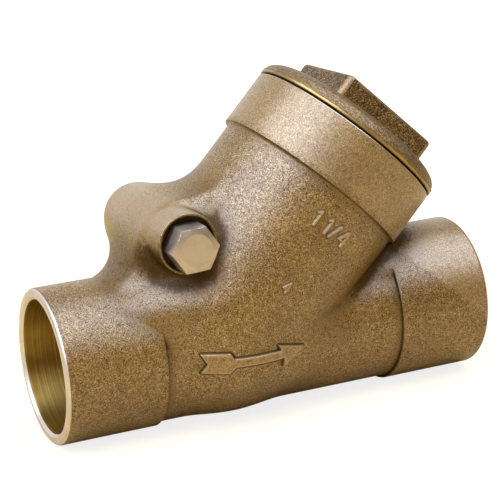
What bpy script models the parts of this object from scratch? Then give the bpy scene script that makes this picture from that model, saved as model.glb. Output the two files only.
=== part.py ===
"""Swing check valve, 1-1/4 size, solder ends, with an inclined access neck and a screwed cap.

The pipe runs along X with the inlet end face at the origin, and flow goes towards +X.
The neck leans downstream.  Its frame is the empty neck_axis, whose local Z runs up the neck.
The hinge pin lies along Y in the boss on the upstream side of the neck.
"""
import bpy
import bmesh
import numpy as np
from math import asin, cos, pi, radians, sin, sqrt
from mathutils import Matrix, Vector

MM = 0.001

# Rotations that turn a piece's Z axis to the front, along the pipe or against it
TO_FRONT = (pi / 2, 0, 0)
ALONG_PIPE = (0, pi / 2, 0)
AGAINST_PIPE = (0, -pi / 2, 0)

# Clearances between pieces
fit_gap = 0.3 * MM
side_gap = 0.3 * MM

# Facets round a turned form, and the reach within which stray points are merged
SIDES = {"large": 40, "medium": 32, "small": 24}
weld_reach = 0.005 * MM

# How far a cutter reaches past the face that it opens
overcut = 1.0 * MM

# Solder ends and waterway
face_to_face = 120.2 * MM
socket_radius = 17.53 * MM
socket_depth = 24.6 * MM
socket_wall = 2.92 * MM
inlet_cup_length = 26.9 * MM
outlet_cup_length = 26.4 * MM
rim_round = 1.2 * MM
mouth_chamfer = 0.7 * MM
cup_step_round = 0.5 * MM
tube_stop = 1.93 * MM
body_wall = 4.0 * MM

# Seat, cut square to the neck
neck_angle = radians(46.0)
neck_foot_x = 42.0 * MM
port_inset = 0.4 * MM
seat_height = 8.49 * MM
seat_land_width = 2.0 * MM
seat_step = 1.6 * MM
ledge_slope = 0.6 * MM
bridge_wall = 3.4 * MM

# Disc, its holder and their fasteners
disc_overlap = 0.4 * MM
seat_disc_thickness = 2.8 * MM
holder_thickness = 3.0 * MM
lip_depth = 1.8 * MM
lip_wall = 0.8 * MM
stud_radius = 3.0 * MM
nut_wall = 2.25 * MM
hanger_nut_height = 3.8 * MM
disc_nut_height = 3.5 * MM
washer_thickness = 1.0 * MM
washer_margin = 1.6 * MM
stud_overrun = 1.1 * MM

# Hanger and hinge pin
hanger_thickness = 3.8 * MM
hanger_ring_wall = 4.5 * MM
arm_half_width = 5.4 * MM
arm_tip_half_width = 4.3 * MM
rib_width = 3.0 * MM
rib_height = 1.8 * MM
rib_end_gap = 1.0 * MM
pin_setback = 4.9 * MM
pin_radius = 2.4 * MM
eye_wall = 2.0 * MM
eye_half_width = 6.9 * MM
pocket_clearance = 1.1 * MM
heel_length = 5.5 * MM
heel_half_width = 4.6 * MM
open_angle = radians(50.0)
stop_gap = 0.4 * MM
front_bearing = 3.6 * MM
rear_bearing = 5.0 * MM

# Hinge boss, whose cast ring stands a little above the drilled axis, and its plug
boss_half_length = 19.74 * MM
boss_lift = 0.45 * MM
boss_radius = 7.95 * MM
boss_rear_radius = 8.08 * MM
boss_skin_inset = 0.2 * MM
boss_edge_round = 1.8 * MM
boss_rear_length = 20.6 * MM
boss_setback = 1.2 * MM
recess_depth = 2.4 * MM
recess_rim = 0.9 * MM
plug_hex_radius = 6.4 * MM
plug_head_height = 7.6 * MM
plug_turn = radians(2.8)
plug_thread_radius = 4.9 * MM
plug_face_chamfer = 0.7 * MM

# Neck, collar and cap
chamber_clearance = 3.3 * MM
neck_wall = 4.35 * MM
bulb_height = 9.2 * MM
disc_headroom = 2.03 * MM
thread_wall = 1.2 * MM
thread_depth = 14.0 * MM
collar_wall = 4.35 * MM
collar_extra = 1.35 * MM
collar_slope = 0.5 * MM
collar_edge = 0.3 * MM
collar_root = 0.35 * MM
gasket_thickness = 0.8 * MM
gasket_recess = 0.9 * MM
gasket_width = 2.4 * MM
skirt_wall = 4.3 * MM
flange_overhang = 0.1 * MM
flange_rim_height = 1.15 * MM
flange_edge = 0.25 * MM
dome_height = 3.8 * MM
dome_width = 7.6 * MM
cap_crown = 8.2 * MM
head_side = 30.4 * MM
head_height = 5.9 * MM
head_corner_round = 1.5 * MM
head_top_round = 1.1 * MM
head_turn = radians(-3.1)

# Cast fillets
inlet_fillet = 13.7 * MM
root_fillet = 2.4 * MM
outlet_fillet = 12.0 * MM
boss_fillet = 14.5 * MM
boss_front_fillet = 3.0 * MM
pad_rise = 0.25 * MM
pad_length = 11.0 * MM
pad_fade = 7.0 * MM
skin_step = 1.7 * MM
skin_share = 0.13

# Worked out from the above
waterway_radius = socket_radius - tube_stop
cup_radius = socket_radius + socket_wall
pipe_radius = waterway_radius + body_wall
port_radius = waterway_radius - port_inset
land_radius = port_radius + seat_land_width
seat_disc_radius = land_radius + disc_overlap
holder_radius = seat_disc_radius + fit_gap + lip_wall
chamber_radius = holder_radius + chamber_clearance
chamber_floor = seat_height - seat_step
neck_radius = chamber_radius + neck_wall
elbow_radius = waterway_radius + bridge_wall

seat_disc_bottom = seat_height + fit_gap
holder_bottom = seat_disc_bottom + seat_disc_thickness + fit_gap
holder_top = holder_bottom + holder_thickness
hanger_bottom = holder_top + fit_gap
pin_height = hanger_bottom + hanger_thickness / 2
pin_offset = chamber_radius + pin_setback
pin_bore = pin_radius + fit_gap
eye_radius = pin_bore + eye_wall
pocket_radius = eye_radius + pocket_clearance
pocket_half_width = eye_half_width + side_gap
ring_radius = stud_radius + fit_gap + hanger_ring_wall
washer_radius = stud_radius + fit_gap + nut_wall + washer_margin
nut_radius = stud_radius + fit_gap + nut_wall

open_reach = (pin_offset + holder_radius) * sin(open_angle) - (pin_height - holder_top) * cos(open_angle)
thread_bottom = pin_height + open_reach + disc_headroom
neck_top = thread_bottom + thread_depth
thread_radius = chamber_radius + thread_wall
skirt_radius = thread_radius - fit_gap
skirt_bottom = thread_bottom + 2 * fit_gap
collar_radius = thread_radius + collar_wall
collar_bottom = thread_bottom - collar_extra
gasket_inner = thread_radius + fit_gap
gasket_outer = gasket_inner + gasket_width
gasket_bottom = neck_top - gasket_recess + fit_gap
flange_bottom = gasket_bottom + gasket_thickness + fit_gap
flange_radius = collar_radius + flange_overhang
hollow_radius = skirt_radius - skirt_wall
dome_base = flange_bottom + flange_rim_height
dome_top = dome_base + dome_height
head_top = dome_top + head_height
hollow_top = head_top - cap_crown

recess_radius = boss_radius - recess_rim
recess_floor = boss_half_length - recess_depth
plug_bore = plug_thread_radius + fit_gap
plug_bore_end = pocket_half_width + front_bearing
pin_blind_end = pocket_half_width + rear_bearing

# The neck's direction, and its place on the pipe's axis
neck_foot = np.array([neck_foot_x, 0.0, 0.0])
neck_up = np.array([cos(neck_angle), 0.0, sin(neck_angle)])
neck_side = np.array([-sin(neck_angle), 0.0, cos(neck_angle)])
hinge_point = neck_foot + pin_height * neck_up + pin_offset * neck_side
boss_point = hinge_point + np.array([0.0, 0.0, boss_lift])


# Scene helpers

def clear_scene():
    for old in list(bpy.data.objects):
        bpy.data.objects.remove(old, do_unlink=True)


def make_material(name, colour, metallic, roughness):
    material = bpy.data.materials.new(name)
    material.use_nodes = True
    shader = material.node_tree.nodes["Principled BSDF"]
    shader.inputs["Base Color"].default_value = (*colour, 1.0)
    shader.inputs["Metallic"].default_value = metallic
    shader.inputs["Roughness"].default_value = roughness
    return material


def make_empty(name, location, rotation, parent=None):
    empty = bpy.data.objects.new(name, None)
    empty.empty_display_size = 10 * MM
    bpy.context.scene.collection.objects.link(empty)
    empty.parent = parent
    empty.location = location
    empty.rotation_euler = rotation
    return empty


def make_object(name, mesh_builder, parent=None, location=(0, 0, 0), rotation=(0, 0, 0),
                material=None, smooth_angle=35.0):
    """Turn a bmesh into a placed object with its faces pointing out."""
    bmesh.ops.recalc_face_normals(mesh_builder, faces=mesh_builder.faces[:])
    mesh = bpy.data.meshes.new(name)
    mesh_builder.to_mesh(mesh)
    mesh_builder.free()
    mesh.shade_smooth()
    mesh.set_sharp_from_angle(angle=radians(smooth_angle))
    piece = bpy.data.objects.new(name, mesh)
    bpy.context.scene.collection.objects.link(piece)
    piece.parent = parent
    piece.location = location
    piece.rotation_euler = rotation
    if material:
        mesh.materials.append(material)
    return piece


def as_tool(piece):
    """Mark an object as a cutter or a joined blank, so that it is no piece of its own."""
    piece.hide_render = True
    piece.display_type = 'WIRE'
    return piece


def combine(target, tool, operation):
    """Join or cut with an EXACT Boolean, then weld the zero-length edges that it leaves."""
    modifier = target.modifiers.new(tool.name, 'BOOLEAN')
    modifier.operation = operation
    modifier.solver = 'EXACT'
    modifier.object = as_tool(tool)
    weld = target.modifiers.new(tool.name + "_weld", 'WELD')
    weld.merge_threshold = weld_reach


# Shape helpers

def turned(profile, size):
    """Spin a profile of (radius, height) points about local Z; it starts and ends on the axis,
    or comes back to its first point as a ring."""
    shape = bmesh.new()
    points = [shape.verts.new((radius, 0, height)) for radius, height in profile]
    edges = [shape.edges.new(pair) for pair in zip(points, points[1:])]
    if profile[0][0] > 0:
        edges.append(shape.edges.new((points[-1], points[0])))
    bmesh.ops.spin(shape, geom=points + edges, axis=(0, 0, 1), cent=(0, 0, 0),
                   angle=2 * pi, steps=SIDES[size], use_merge=True)
    bmesh.ops.remove_doubles(shape, verts=shape.verts[:], dist=1e-7)
    return shape


def prism(outline, low, high):
    """Extrude an outline of (x, y) points from height low to height high."""
    shape = bmesh.new()
    floor = shape.faces.new([shape.verts.new((x, y, low)) for x, y in outline])
    lifted = bmesh.ops.extrude_face_region(shape, geom=[floor])
    top = [item for item in lifted["geom"] if isinstance(item, bmesh.types.BMVert)]
    bmesh.ops.translate(shape, verts=top, vec=(0, 0, high - low))
    return shape


def arc(centre, radius, start, end, steps):
    """Points on an arc, with its ends."""
    angles = [start + (end - start) * i / steps for i in range(steps + 1)]
    return [(centre[0] + radius * cos(a), centre[1] + radius * sin(a)) for a in angles]


def polygon(sides, radius, turn=0.0):
    return arc((0, 0), radius, turn, turn + 2 * pi * (sides - 1) / sides, sides - 1)


def rounded_square(side, corner, turn):
    """Outline of a square with round corners, turned about its centre."""
    half = side / 2 - corner
    outline = []
    for quarter in range(4):
        heading = quarter * pi / 2
        centre = (half * sqrt(2) * cos(heading + pi / 4), half * sqrt(2) * sin(heading + pi / 4))
        outline += arc(centre, corner, heading, heading + pi / 2, 4)
    spin = Matrix.Rotation(turn, 2)
    return [tuple(spin @ Vector(point)) for point in outline]


# Outer skin of the casting

def smooth_step(value):
    value = np.clip(value, 0.0, 1.0)
    return value * value * (3 - 2 * value)


def soft_union(first, second, fillet):
    """Distance to two shapes joined by a fillet of about the given width."""
    fillet = np.maximum(fillet, 1e-6)
    overlap = np.maximum(fillet - np.abs(first - second), 0) / fillet
    return np.minimum(first, second) - overlap * overlap * fillet / 4


def neck_distance(points):
    """Distance from the neck, a cylinder with a ball-shaped lower end."""
    from_foot = points - neck_foot
    along = np.maximum(from_foot @ neck_up, bulb_height)
    return np.linalg.norm(from_foot - along[:, None] * neck_up, axis=1) - neck_radius


def pipe_distance(points):
    """Distance from the pipe, which swells on top just before the outlet cup and hides its step."""
    step = face_to_face - outlet_cup_length
    before = smooth_step((points[:, 0] - step) / pad_length + 1)
    after = 1 - smooth_step((points[:, 0] - step) / pad_fade)
    top = smooth_step((points[:, 2] / pipe_radius - 0.55) / 0.25)
    swell = (cup_radius - pipe_radius + pad_rise) * before * after * top
    return np.hypot(points[:, 1], points[:, 2]) - pipe_radius - swell


def boss_distance(points):
    """Distance from the hinge boss, a cylinder along Y with slightly round ends."""
    back = np.clip(points[:, 1] / boss_half_length, -1, 1) / 2 + 0.5
    radius = boss_radius - boss_skin_inset + (boss_rear_radius - boss_radius + boss_skin_inset) * back
    out = np.hypot(points[:, 0] - boss_point[0], points[:, 2] - boss_point[2])
    out = out - (radius - boss_edge_round)
    front = points[:, 1] < 0
    reach = np.where(front, boss_half_length - boss_setback, boss_rear_length) - boss_edge_round
    beyond = np.abs(points[:, 1]) - reach
    corner = np.hypot(np.maximum(out, 0), np.maximum(beyond, 0))
    return corner + np.minimum(np.maximum(out, beyond), 0) - boss_edge_round


def neck_fillet(points):
    """Width of the fillet at the neck's foot: broad above the inlet, fine in the crease above
    the outlet and underneath, and soft on the flanks."""
    height = points[:, 2] / pipe_radius
    upstream = (points - neck_foot) @ neck_side / neck_radius
    above_inlet = root_fillet + (inlet_fillet - root_fillet) * smooth_step((height - 0.2) / 0.7)
    flank = smooth_step((0.45 - height) / 0.6) * (1 - 0.9 * smooth_step((-height - 0.3) / 0.5))
    above_outlet = root_fillet + (outlet_fillet - root_fillet) * flank
    return above_inlet + (above_outlet - above_inlet) * smooth_step(0.5 - upstream / 0.8)


def skin_distance(points):
    """Distance from the cast skin without cups and collar."""
    body = soft_union(neck_distance(points), pipe_distance(points), neck_fillet(points))
    towards_front = smooth_step((-points[:, 1] / boss_half_length - 0.4) / 0.4)
    fillet = boss_fillet + (boss_front_fillet - boss_fillet) * towards_front
    return soft_union(body, boss_distance(points), fillet)


def slope(distance, points):
    """Gradient of a distance by central differences."""
    reach = 0.02 * MM
    parts = []
    for axis in np.eye(3) * reach:
        parts.append((distance(points + axis) - distance(points - axis)) / (2 * reach))
    return np.stack(parts, axis=1)


def settle_on_skin(points, steps):
    """Move points along the slope until they lie on the skin."""
    for _ in range(steps):
        gradient = slope(skin_distance, points)
        steepness = np.maximum((gradient ** 2).sum(axis=1), 0.1)
        points = points - (skin_distance(points) / steepness)[:, None] * gradient
    return points


def even_out(points, edges):
    """Move each point most of the way to the middle of its neighbours."""
    total = np.zeros_like(points)
    count = np.zeros(len(points))
    for near, far in ((0, 1), (1, 0)):
        np.add.at(total, edges[:, near], points[edges[:, far]])
        np.add.at(count, edges[:, near], 1)
    return points + 0.6 * (total / count[:, None] - points)


def casting_blank():
    """Rough neck, pipe and boss fused by a remesh, then settled on the filleted skin."""
    spare = 6 * MM
    inlet_end = inlet_cup_length / 2
    outlet_end = face_to_face - outlet_cup_length / 2
    blank = bmesh.new()
    bmesh.ops.create_icosphere(blank, subdivisions=4, radius=neck_radius,
                               matrix=Matrix.Translation(neck_foot + bulb_height * neck_up))
    bars = (
        (neck_foot + bulb_height * neck_up, neck_foot + (collar_bottom + 2 * spare) * neck_up, neck_radius),
        ((inlet_end - spare, 0, 0), (outlet_end + spare, 0, 0), pipe_radius),
        (boss_point - [0, boss_half_length, 0], boss_point + [0, boss_rear_length, 0], boss_radius),
    )
    for start, end, radius in bars:
        run = Vector(end) - Vector(start)
        turn = run.to_track_quat('Z', 'Y').to_matrix().to_4x4()
        middle = Matrix.Translation((Vector(start) + Vector(end)) / 2)
        bmesh.ops.create_cone(blank, cap_ends=True, segments=64, radius1=radius, radius2=radius,
                              depth=run.length, matrix=middle @ turn)
    rough = make_object("rough_casting", blank)
    remesh = rough.modifiers.new("fuse", 'REMESH')
    remesh.mode = 'VOXEL'
    remesh.voxel_size = skin_step
    fused = rough.evaluated_get(bpy.context.evaluated_depsgraph_get())
    mesh = bpy.data.meshes.new_from_object(fused)
    bpy.data.objects.remove(rough, do_unlink=True)

    places = np.empty(len(mesh.vertices) * 3)
    mesh.vertices.foreach_get("co", places)
    places = settle_on_skin(places.reshape(-1, 3), 3)
    edges = np.empty(len(mesh.edges) * 2, dtype=np.int32)
    mesh.edges.foreach_get("vertices", edges)
    for _ in range(8):
        places = settle_on_skin(even_out(places, edges.reshape(-1, 2)), 2)
    places = settle_on_skin(places, 8)
    mesh.vertices.foreach_set("co", places.ravel())
    fine = bpy.data.objects.new("fine_casting", mesh)
    bpy.context.scene.collection.objects.link(fine)
    thinning = fine.modifiers.new("thin", 'DECIMATE')
    thinning.ratio = skin_share
    skin = bmesh.new()
    skin.from_object(fine, bpy.context.evaluated_depsgraph_get())
    bpy.data.objects.remove(fine, do_unlink=True)
    for point, outward in (
        (Vector((inlet_end, 0, 0)), Vector((-1, 0, 0))),
        (Vector((outlet_end, 0, 0)), Vector((1, 0, 0))),
        (Vector(neck_foot + (collar_bottom + spare) * neck_up), Vector(neck_up)),
    ):
        everything = skin.verts[:] + skin.edges[:] + skin.faces[:]
        cut = bmesh.ops.bisect_plane(skin, geom=everything, dist=1e-7, plane_co=point,
                                     plane_no=outward, clear_outer=True)
        rim = [item for item in cut["geom_cut"] if isinstance(item, bmesh.types.BMEdge)]
        bmesh.ops.contextual_create(skin, geom=rim)
    return skin


# Body

def solder_cup(length):
    """Outside of a solder cup along local Z, from its end face at zero, with a machined rim."""
    rim = arc((cup_radius - rim_round, rim_round), rim_round, -pi / 2, 0, 3)
    step = arc((cup_radius - cup_step_round, length - cup_step_round), cup_step_round, 0, pi / 2, 2)
    return turned([(0, 0)] + rim + step + [(0, length)], "large")


def socket_profile(end):
    """Half section of a solder socket with its mouth chamfer, tube stop and waterway."""
    mouth = socket_radius + mouth_chamfer + overcut
    return [(0, -overcut), (mouth, -overcut), (socket_radius, mouth_chamfer),
            (socket_radius, socket_depth), (waterway_radius, socket_depth)] + end


def inlet_cavity():
    """Inlet socket and waterway, ending in a ball that turns the flow up to the seat."""
    run = neck_foot_x
    ball = arc((0, run), waterway_radius, 0, pi / 2, 8)
    ball = ball[:-1] + [(0, run + waterway_radius)]
    cutter = turned(socket_profile(ball), "large")
    return make_object("inlet_cavity", cutter, rotation=ALONG_PIPE)


def outlet_cavity():
    """Outlet socket and waterway, up to the foot of the neck."""
    depth = face_to_face - neck_foot_x
    cutter = turned(socket_profile([(waterway_radius, depth), (0, depth)]), "large")
    return make_object("outlet_cavity", cutter, location=(face_to_face, 0, 0), rotation=AGAINST_PIPE)


def chamber(neck_axis):
    """Room for the disc to swing in, up the neck."""
    top = thread_bottom + fit_gap
    cutter = turned([(0, chamber_floor), (chamber_radius, chamber_floor),
                     (chamber_radius, top), (0, top)], "large")
    return make_object("chamber", cutter, neck_axis)


def seat_wall(neck_axis):
    """Bridge wall round the inlet's elbow, with the raised seat on top, still solid."""
    ball = arc((0, 0), elbow_radius, -pi / 2, 0, 8)
    ball[0] = (0, -elbow_radius)
    wall = turned(ball + [(elbow_radius, chamber_floor - ledge_slope),
                          (land_radius, chamber_floor + ledge_slope),
                          (land_radius, seat_height), (0, seat_height)], "large")
    return make_object("seat_wall", wall, neck_axis)


def hinge_pocket(hinge_axis):
    """Room for the hanger's eye and arm, from shut to fully open, in the hinge's own frame."""
    into_chamber = pin_offset - chamber_radius + 3 * overcut
    roof_x = pin_offset - chamber_radius + overcut / 2
    back = arc((0, 0), pocket_radius, open_angle + pi / 2, 3 * pi / 2, 20)
    rise = (roof_x - back[0][0]) / cos(open_angle)
    roof_z = back[0][1] + rise * sin(open_angle)
    outline = back + [(into_chamber, -pocket_radius), (into_chamber, roof_z), (roof_x, roof_z)]
    shape = prism(outline, -pocket_half_width, pocket_half_width)
    return make_object("hinge_pocket", shape, hinge_axis, rotation=TO_FRONT)


def collar():
    """Outside of the threaded collar, along the neck, with a sloped underside."""
    root = collar_bottom - collar_slope
    sunk = neck_radius - collar_root
    return turned([(0, root), (sunk, root), (collar_radius, collar_bottom),
                   (collar_radius, neck_top - collar_edge), (collar_radius - collar_edge, neck_top),
                   (0, neck_top)], "large")


def thread_bore():
    """Bore for the cap's thread, with a recess for its gasket."""
    recess = gasket_outer + fit_gap
    recess_base = neck_top - gasket_recess
    above = neck_top + overcut
    return turned([(0, thread_bottom), (thread_radius, thread_bottom), (thread_radius, recess_base),
                   (recess, recess_base), (recess, above), (0, above)], "large")


def boss_ring():
    """Machined front end of the hinge boss; local Z points to the front."""
    root = boss_half_length / 2
    edge = 0.3 * MM
    return turned([(0, root), (boss_radius - edge, root), (boss_radius, boss_half_length - edge),
                   (boss_radius - edge, boss_half_length), (0, boss_half_length)], "medium")


def boss_recess():
    """Shallow recess in the ring, round the plug's head; local Z points to the front."""
    outside = boss_half_length + overcut
    return turned([(0, recess_floor), (recess_radius, recess_floor), (recess_radius, outside),
                   (0, outside)], "medium")


def pin_bore_cutter():
    """Blind pin bore and plug bore in one turned cutter; local Z points to the front."""
    outside = recess_floor + overcut
    return turned([(0, -pin_blind_end), (pin_bore, -pin_blind_end), (pin_bore, plug_bore_end),
                   (plug_bore, plug_bore_end), (plug_bore, outside), (0, outside)], "medium")


def make_body(neck_axis, hinge_axis, material):
    """Cast body: filleted skin, cups, collar and boss, then everything that is cored or bored."""
    body = make_object("valve_body", casting_blank(), material=material)
    inlet = make_object("inlet_cup", solder_cup(inlet_cup_length), rotation=ALONG_PIPE)
    outlet = make_object("outlet_cup", solder_cup(outlet_cup_length), location=(face_to_face, 0, 0),
                         rotation=AGAINST_PIPE)
    port_end = seat_height + overcut
    port = turned([(0, 0), (port_radius, 0), (port_radius, port_end), (0, port_end)], "large")
    steps = (
        ('UNION', (inlet, outlet, make_object("collar", collar(), neck_axis),
                   make_object("boss_ring", boss_ring(), location=boss_point, rotation=TO_FRONT))),
        ('DIFFERENCE', (outlet_cavity(), chamber(neck_axis), hinge_pocket(hinge_axis))),
        ('UNION', (seat_wall(neck_axis),)),
        ('DIFFERENCE', (inlet_cavity(), make_object("seat_port", port, neck_axis),
                        make_object("thread_bore", thread_bore(), neck_axis),
                        make_object("boss_recess", boss_recess(), location=boss_point, rotation=TO_FRONT),
                        make_object("pin_bore", pin_bore_cutter(), location=hinge_point,
                                    rotation=TO_FRONT))),
    )
    for operation, tools in steps:
        for tool in tools:
            combine(body, tool, operation)
    return body


# Cap and its gasket

def make_cap(neck_axis, material):
    """Screwed cap: hollow threaded skirt, domed round flange and square wrench head."""
    chamfer = 0.6 * MM
    relief = 0.5 * MM
    dome = [(flange_radius - dome_width + dome_width * cos(a), dome_base + dome_height * sin(a))
            for a in (i * pi / 18 for i in range(1, 10))]
    profile = [(0, hollow_top), (hollow_radius - chamfer, hollow_top),
               (hollow_radius, hollow_top - chamfer), (hollow_radius, skirt_bottom),
               (skirt_radius - chamfer, skirt_bottom), (skirt_radius, skirt_bottom + chamfer),
               (skirt_radius, flange_bottom - 3 * relief),
               (skirt_radius - relief, flange_bottom - 2 * relief),
               (skirt_radius - relief, flange_bottom), (flange_radius - flange_edge, flange_bottom),
               (flange_radius, flange_bottom + flange_edge), (flange_radius, dome_base)]
    profile += dome + [(0, dome_top)]
    cap = make_object("cap", turned(profile, "large"), neck_axis, material=material)
    head = prism(rounded_square(head_side, head_corner_round, head_turn),
                 hollow_top + chamfer, head_top)
    rim = [edge for edge in head.edges if all(v.co.z > dome_top for v in edge.verts)]
    bmesh.ops.bevel(head, geom=rim, offset=head_top_round, segments=3, profile=0.5,
                    affect='EDGES', clamp_overlap=True)
    combine(cap, make_object("cap_head", head, neck_axis), 'UNION')
    return cap


def make_gasket(neck_axis, material):
    top = gasket_bottom + gasket_thickness
    ring = turned([(gasket_inner, gasket_bottom), (gasket_outer, gasket_bottom),
                   (gasket_outer, top), (gasket_inner, top)], "large")
    return make_object("cap_gasket", ring, neck_axis, material=material)


# Hinge pin and plug

def make_pin(material):
    chamfer = 0.4 * MM
    rear = -pin_blind_end + fit_gap
    front = plug_bore_end - chamfer / 2
    rod = turned([(0, rear), (pin_radius - chamfer, rear), (pin_radius, rear + chamfer),
                  (pin_radius, front - chamfer), (pin_radius - chamfer, front), (0, front)], "small")
    return make_object("hinge_pin", rod, location=hinge_point, rotation=TO_FRONT,
                       material=material)


def hexagon_head(low, high, radius, chamfer):
    """Hexagonal bar with its outer end chamfered round, by cutting it with a turned blank."""
    flat = radius * cos(pi / 6)
    return [(0, low), (radius + chamfer, low), (radius + chamfer, high - chamfer),
            (flat - chamfer / 3, high), (0, high)]


def make_plug(material):
    """Threaded plug over the pin, with a hexagon head that stands out of its recess."""
    thread_end = plug_bore_end + fit_gap
    head_low = recess_floor + fit_gap
    head_high = head_low + plug_head_height
    chamfer = 0.5 * MM
    head = prism(polygon(6, plug_hex_radius, plug_turn), head_low, head_high)
    plug = make_object("hinge_pin_plug", head, location=hinge_point, rotation=TO_FRONT,
                       material=material, smooth_angle=25.0)
    round_off = hexagon_head(head_low - overcut, head_high, plug_hex_radius, plug_face_chamfer)
    combine(plug, make_object("plug_face", turned(round_off, "medium"), location=hinge_point,
                              rotation=TO_FRONT), 'INTERSECT')
    shank = turned([(0, thread_end), (plug_thread_radius - chamfer, thread_end),
                    (plug_thread_radius, thread_end + chamfer),
                    (plug_thread_radius, head_low + chamfer), (0, head_low + chamfer)], "medium")
    combine(plug, make_object("plug_shank", shank, location=hinge_point, rotation=TO_FRONT), 'UNION')
    return plug


# Hanger

def make_hanger(hinge_axis, material):
    """Swing arm: eye round the pin, tapering arm with a rib, ring round the disc's stud and a
    heel that meets the pocket's roof when the valve is fully open."""
    half = hanger_thickness / 2
    meet = asin(arm_tip_half_width / ring_radius)
    outline = [(0, -arm_half_width)]
    outline += arc((pin_offset, 0), ring_radius, -pi + meet, pi - meet, 32)
    outline += [(0, arm_half_width)]
    arm = prism(outline, -half, half)
    hanger = make_object("disc_hanger", arm, hinge_axis, material=material)

    eye = turned([(0, -eye_half_width), (eye_radius, -eye_half_width),
                  (eye_radius, eye_half_width), (0, eye_half_width)], "medium")
    combine(hanger, make_object("hanger_eye", eye, hinge_axis, rotation=TO_FRONT), 'UNION')
    rib_end = pin_offset - washer_radius - rib_end_gap
    rib_top = half + rib_height
    rib = prism([(0, 0), (rib_end, 0), (rib_end, half), (heel_length, rib_top), (0, rib_top)],
                -rib_width / 2, rib_width / 2)
    combine(hanger, make_object("hanger_rib", rib, hinge_axis, rotation=TO_FRONT), 'UNION')
    heel_top = pocket_radius - stop_gap
    heel = prism([(0, 0), (heel_length, 0), (heel_length, heel_top), (0, heel_top)],
                 -heel_half_width, heel_half_width)
    combine(hanger, make_object("hanger_heel", heel, hinge_axis, rotation=TO_FRONT), 'UNION')

    reach = eye_half_width + overcut
    bore = turned([(0, -reach), (pin_bore, -reach), (pin_bore, reach), (0, reach)], "small")
    combine(hanger, make_object("hanger_bore", bore, hinge_axis, rotation=TO_FRONT), 'DIFFERENCE')
    eye_hole = turned([(0, -2 * half), (stud_radius + fit_gap, -2 * half),
                       (stud_radius + fit_gap, 2 * half), (0, 2 * half)], "small")
    combine(hanger, make_object("stud_hole", eye_hole, hinge_axis, location=(pin_offset, 0, 0)),
            'DIFFERENCE')
    return hanger


# Disc assembly, on its own stud axis with local heights counted from the pin

def level(height):
    """A height up the neck, counted from the hinge pin's level."""
    return height - pin_height


def make_holder(disc_axis, material):
    """Disc holder: a plate with a shallow lip round the seat disc and a stud through its middle."""
    lip_inner = seat_disc_radius + fit_gap
    lip_bottom = holder_bottom - lip_depth
    washer_top = seat_disc_bottom - fit_gap
    low = washer_top - washer_thickness - fit_gap - disc_nut_height - stud_overrun
    high = (hanger_bottom + hanger_thickness + fit_gap + washer_thickness + fit_gap
            + hanger_nut_height + stud_overrun)
    chamfer = 0.5 * MM
    profile = [(0, low), (stud_radius - chamfer, low), (stud_radius, low + chamfer),
               (stud_radius, holder_bottom), (lip_inner, holder_bottom), (lip_inner, lip_bottom),
               (holder_radius, lip_bottom), (holder_radius, holder_top - chamfer),
               (holder_radius - chamfer, holder_top), (stud_radius, holder_top),
               (stud_radius, high - chamfer), (stud_radius - chamfer, high), (0, high)]
    profile = [(radius, level(height)) for radius, height in profile]
    return make_object("disc_holder", turned(profile, "large"), disc_axis, material=material)


def flat_ring(name, inner, outer, low, high, disc_axis, material, size="medium"):
    ring = turned([(inner, level(low)), (outer, level(low)), (outer, level(high)), (inner, level(high))],
                  size)
    return make_object(name, ring, disc_axis, material=material)


def hex_nut(name, low, high, disc_axis, material):
    """Hexagon nut with a plain bore and chamfered corners on both faces."""
    corner = nut_radius / cos(pi / 6)
    chamfer = 0.5 * MM
    nut = make_object(name, prism(polygon(6, corner), level(low), level(high)), disc_axis,
                      material=material, smooth_angle=25.0)
    envelope = turned([(0, level(low)), (corner - chamfer, level(low)),
                       (corner + chamfer, level(low) + chamfer),
                       (corner + chamfer, level(high) - chamfer), (corner - chamfer, level(high)),
                       (0, level(high))], "medium")
    combine(nut, make_object(name + "_envelope", envelope, disc_axis), 'INTERSECT')
    bore = stud_radius + fit_gap
    hole = turned([(0, level(low) - chamfer), (bore, level(low) - chamfer),
                   (bore, level(high) + chamfer), (0, level(high) + chamfer)], "small")
    combine(nut, make_object(name + "_bore", hole, disc_axis), 'DIFFERENCE')
    return nut


def make_disc(disc_axis, bronze, brass, plastic):
    """Holder, soft seat disc and the washers and nuts that hold them on the hanger."""
    stud_hole = stud_radius + fit_gap
    make_holder(disc_axis, bronze)
    flat_ring("seat_disc", stud_hole, seat_disc_radius, seat_disc_bottom,
              seat_disc_bottom + seat_disc_thickness, disc_axis, plastic, "large")
    lower_washer = seat_disc_bottom - fit_gap - washer_thickness
    flat_ring("seat_disc_washer", stud_hole, washer_radius, lower_washer,
              lower_washer + washer_thickness, disc_axis, brass)
    disc_nut_top = lower_washer - fit_gap
    hex_nut("seat_disc_nut", disc_nut_top - disc_nut_height, disc_nut_top, disc_axis, brass)
    upper_washer = hanger_bottom + hanger_thickness + fit_gap
    flat_ring("hanger_washer", stud_hole, washer_radius, upper_washer,
              upper_washer + washer_thickness, disc_axis, brass)
    hanger_nut_low = upper_washer + washer_thickness + fit_gap
    hex_nut("hanger_nut", hanger_nut_low, hanger_nut_low + hanger_nut_height, disc_axis, brass)


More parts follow.
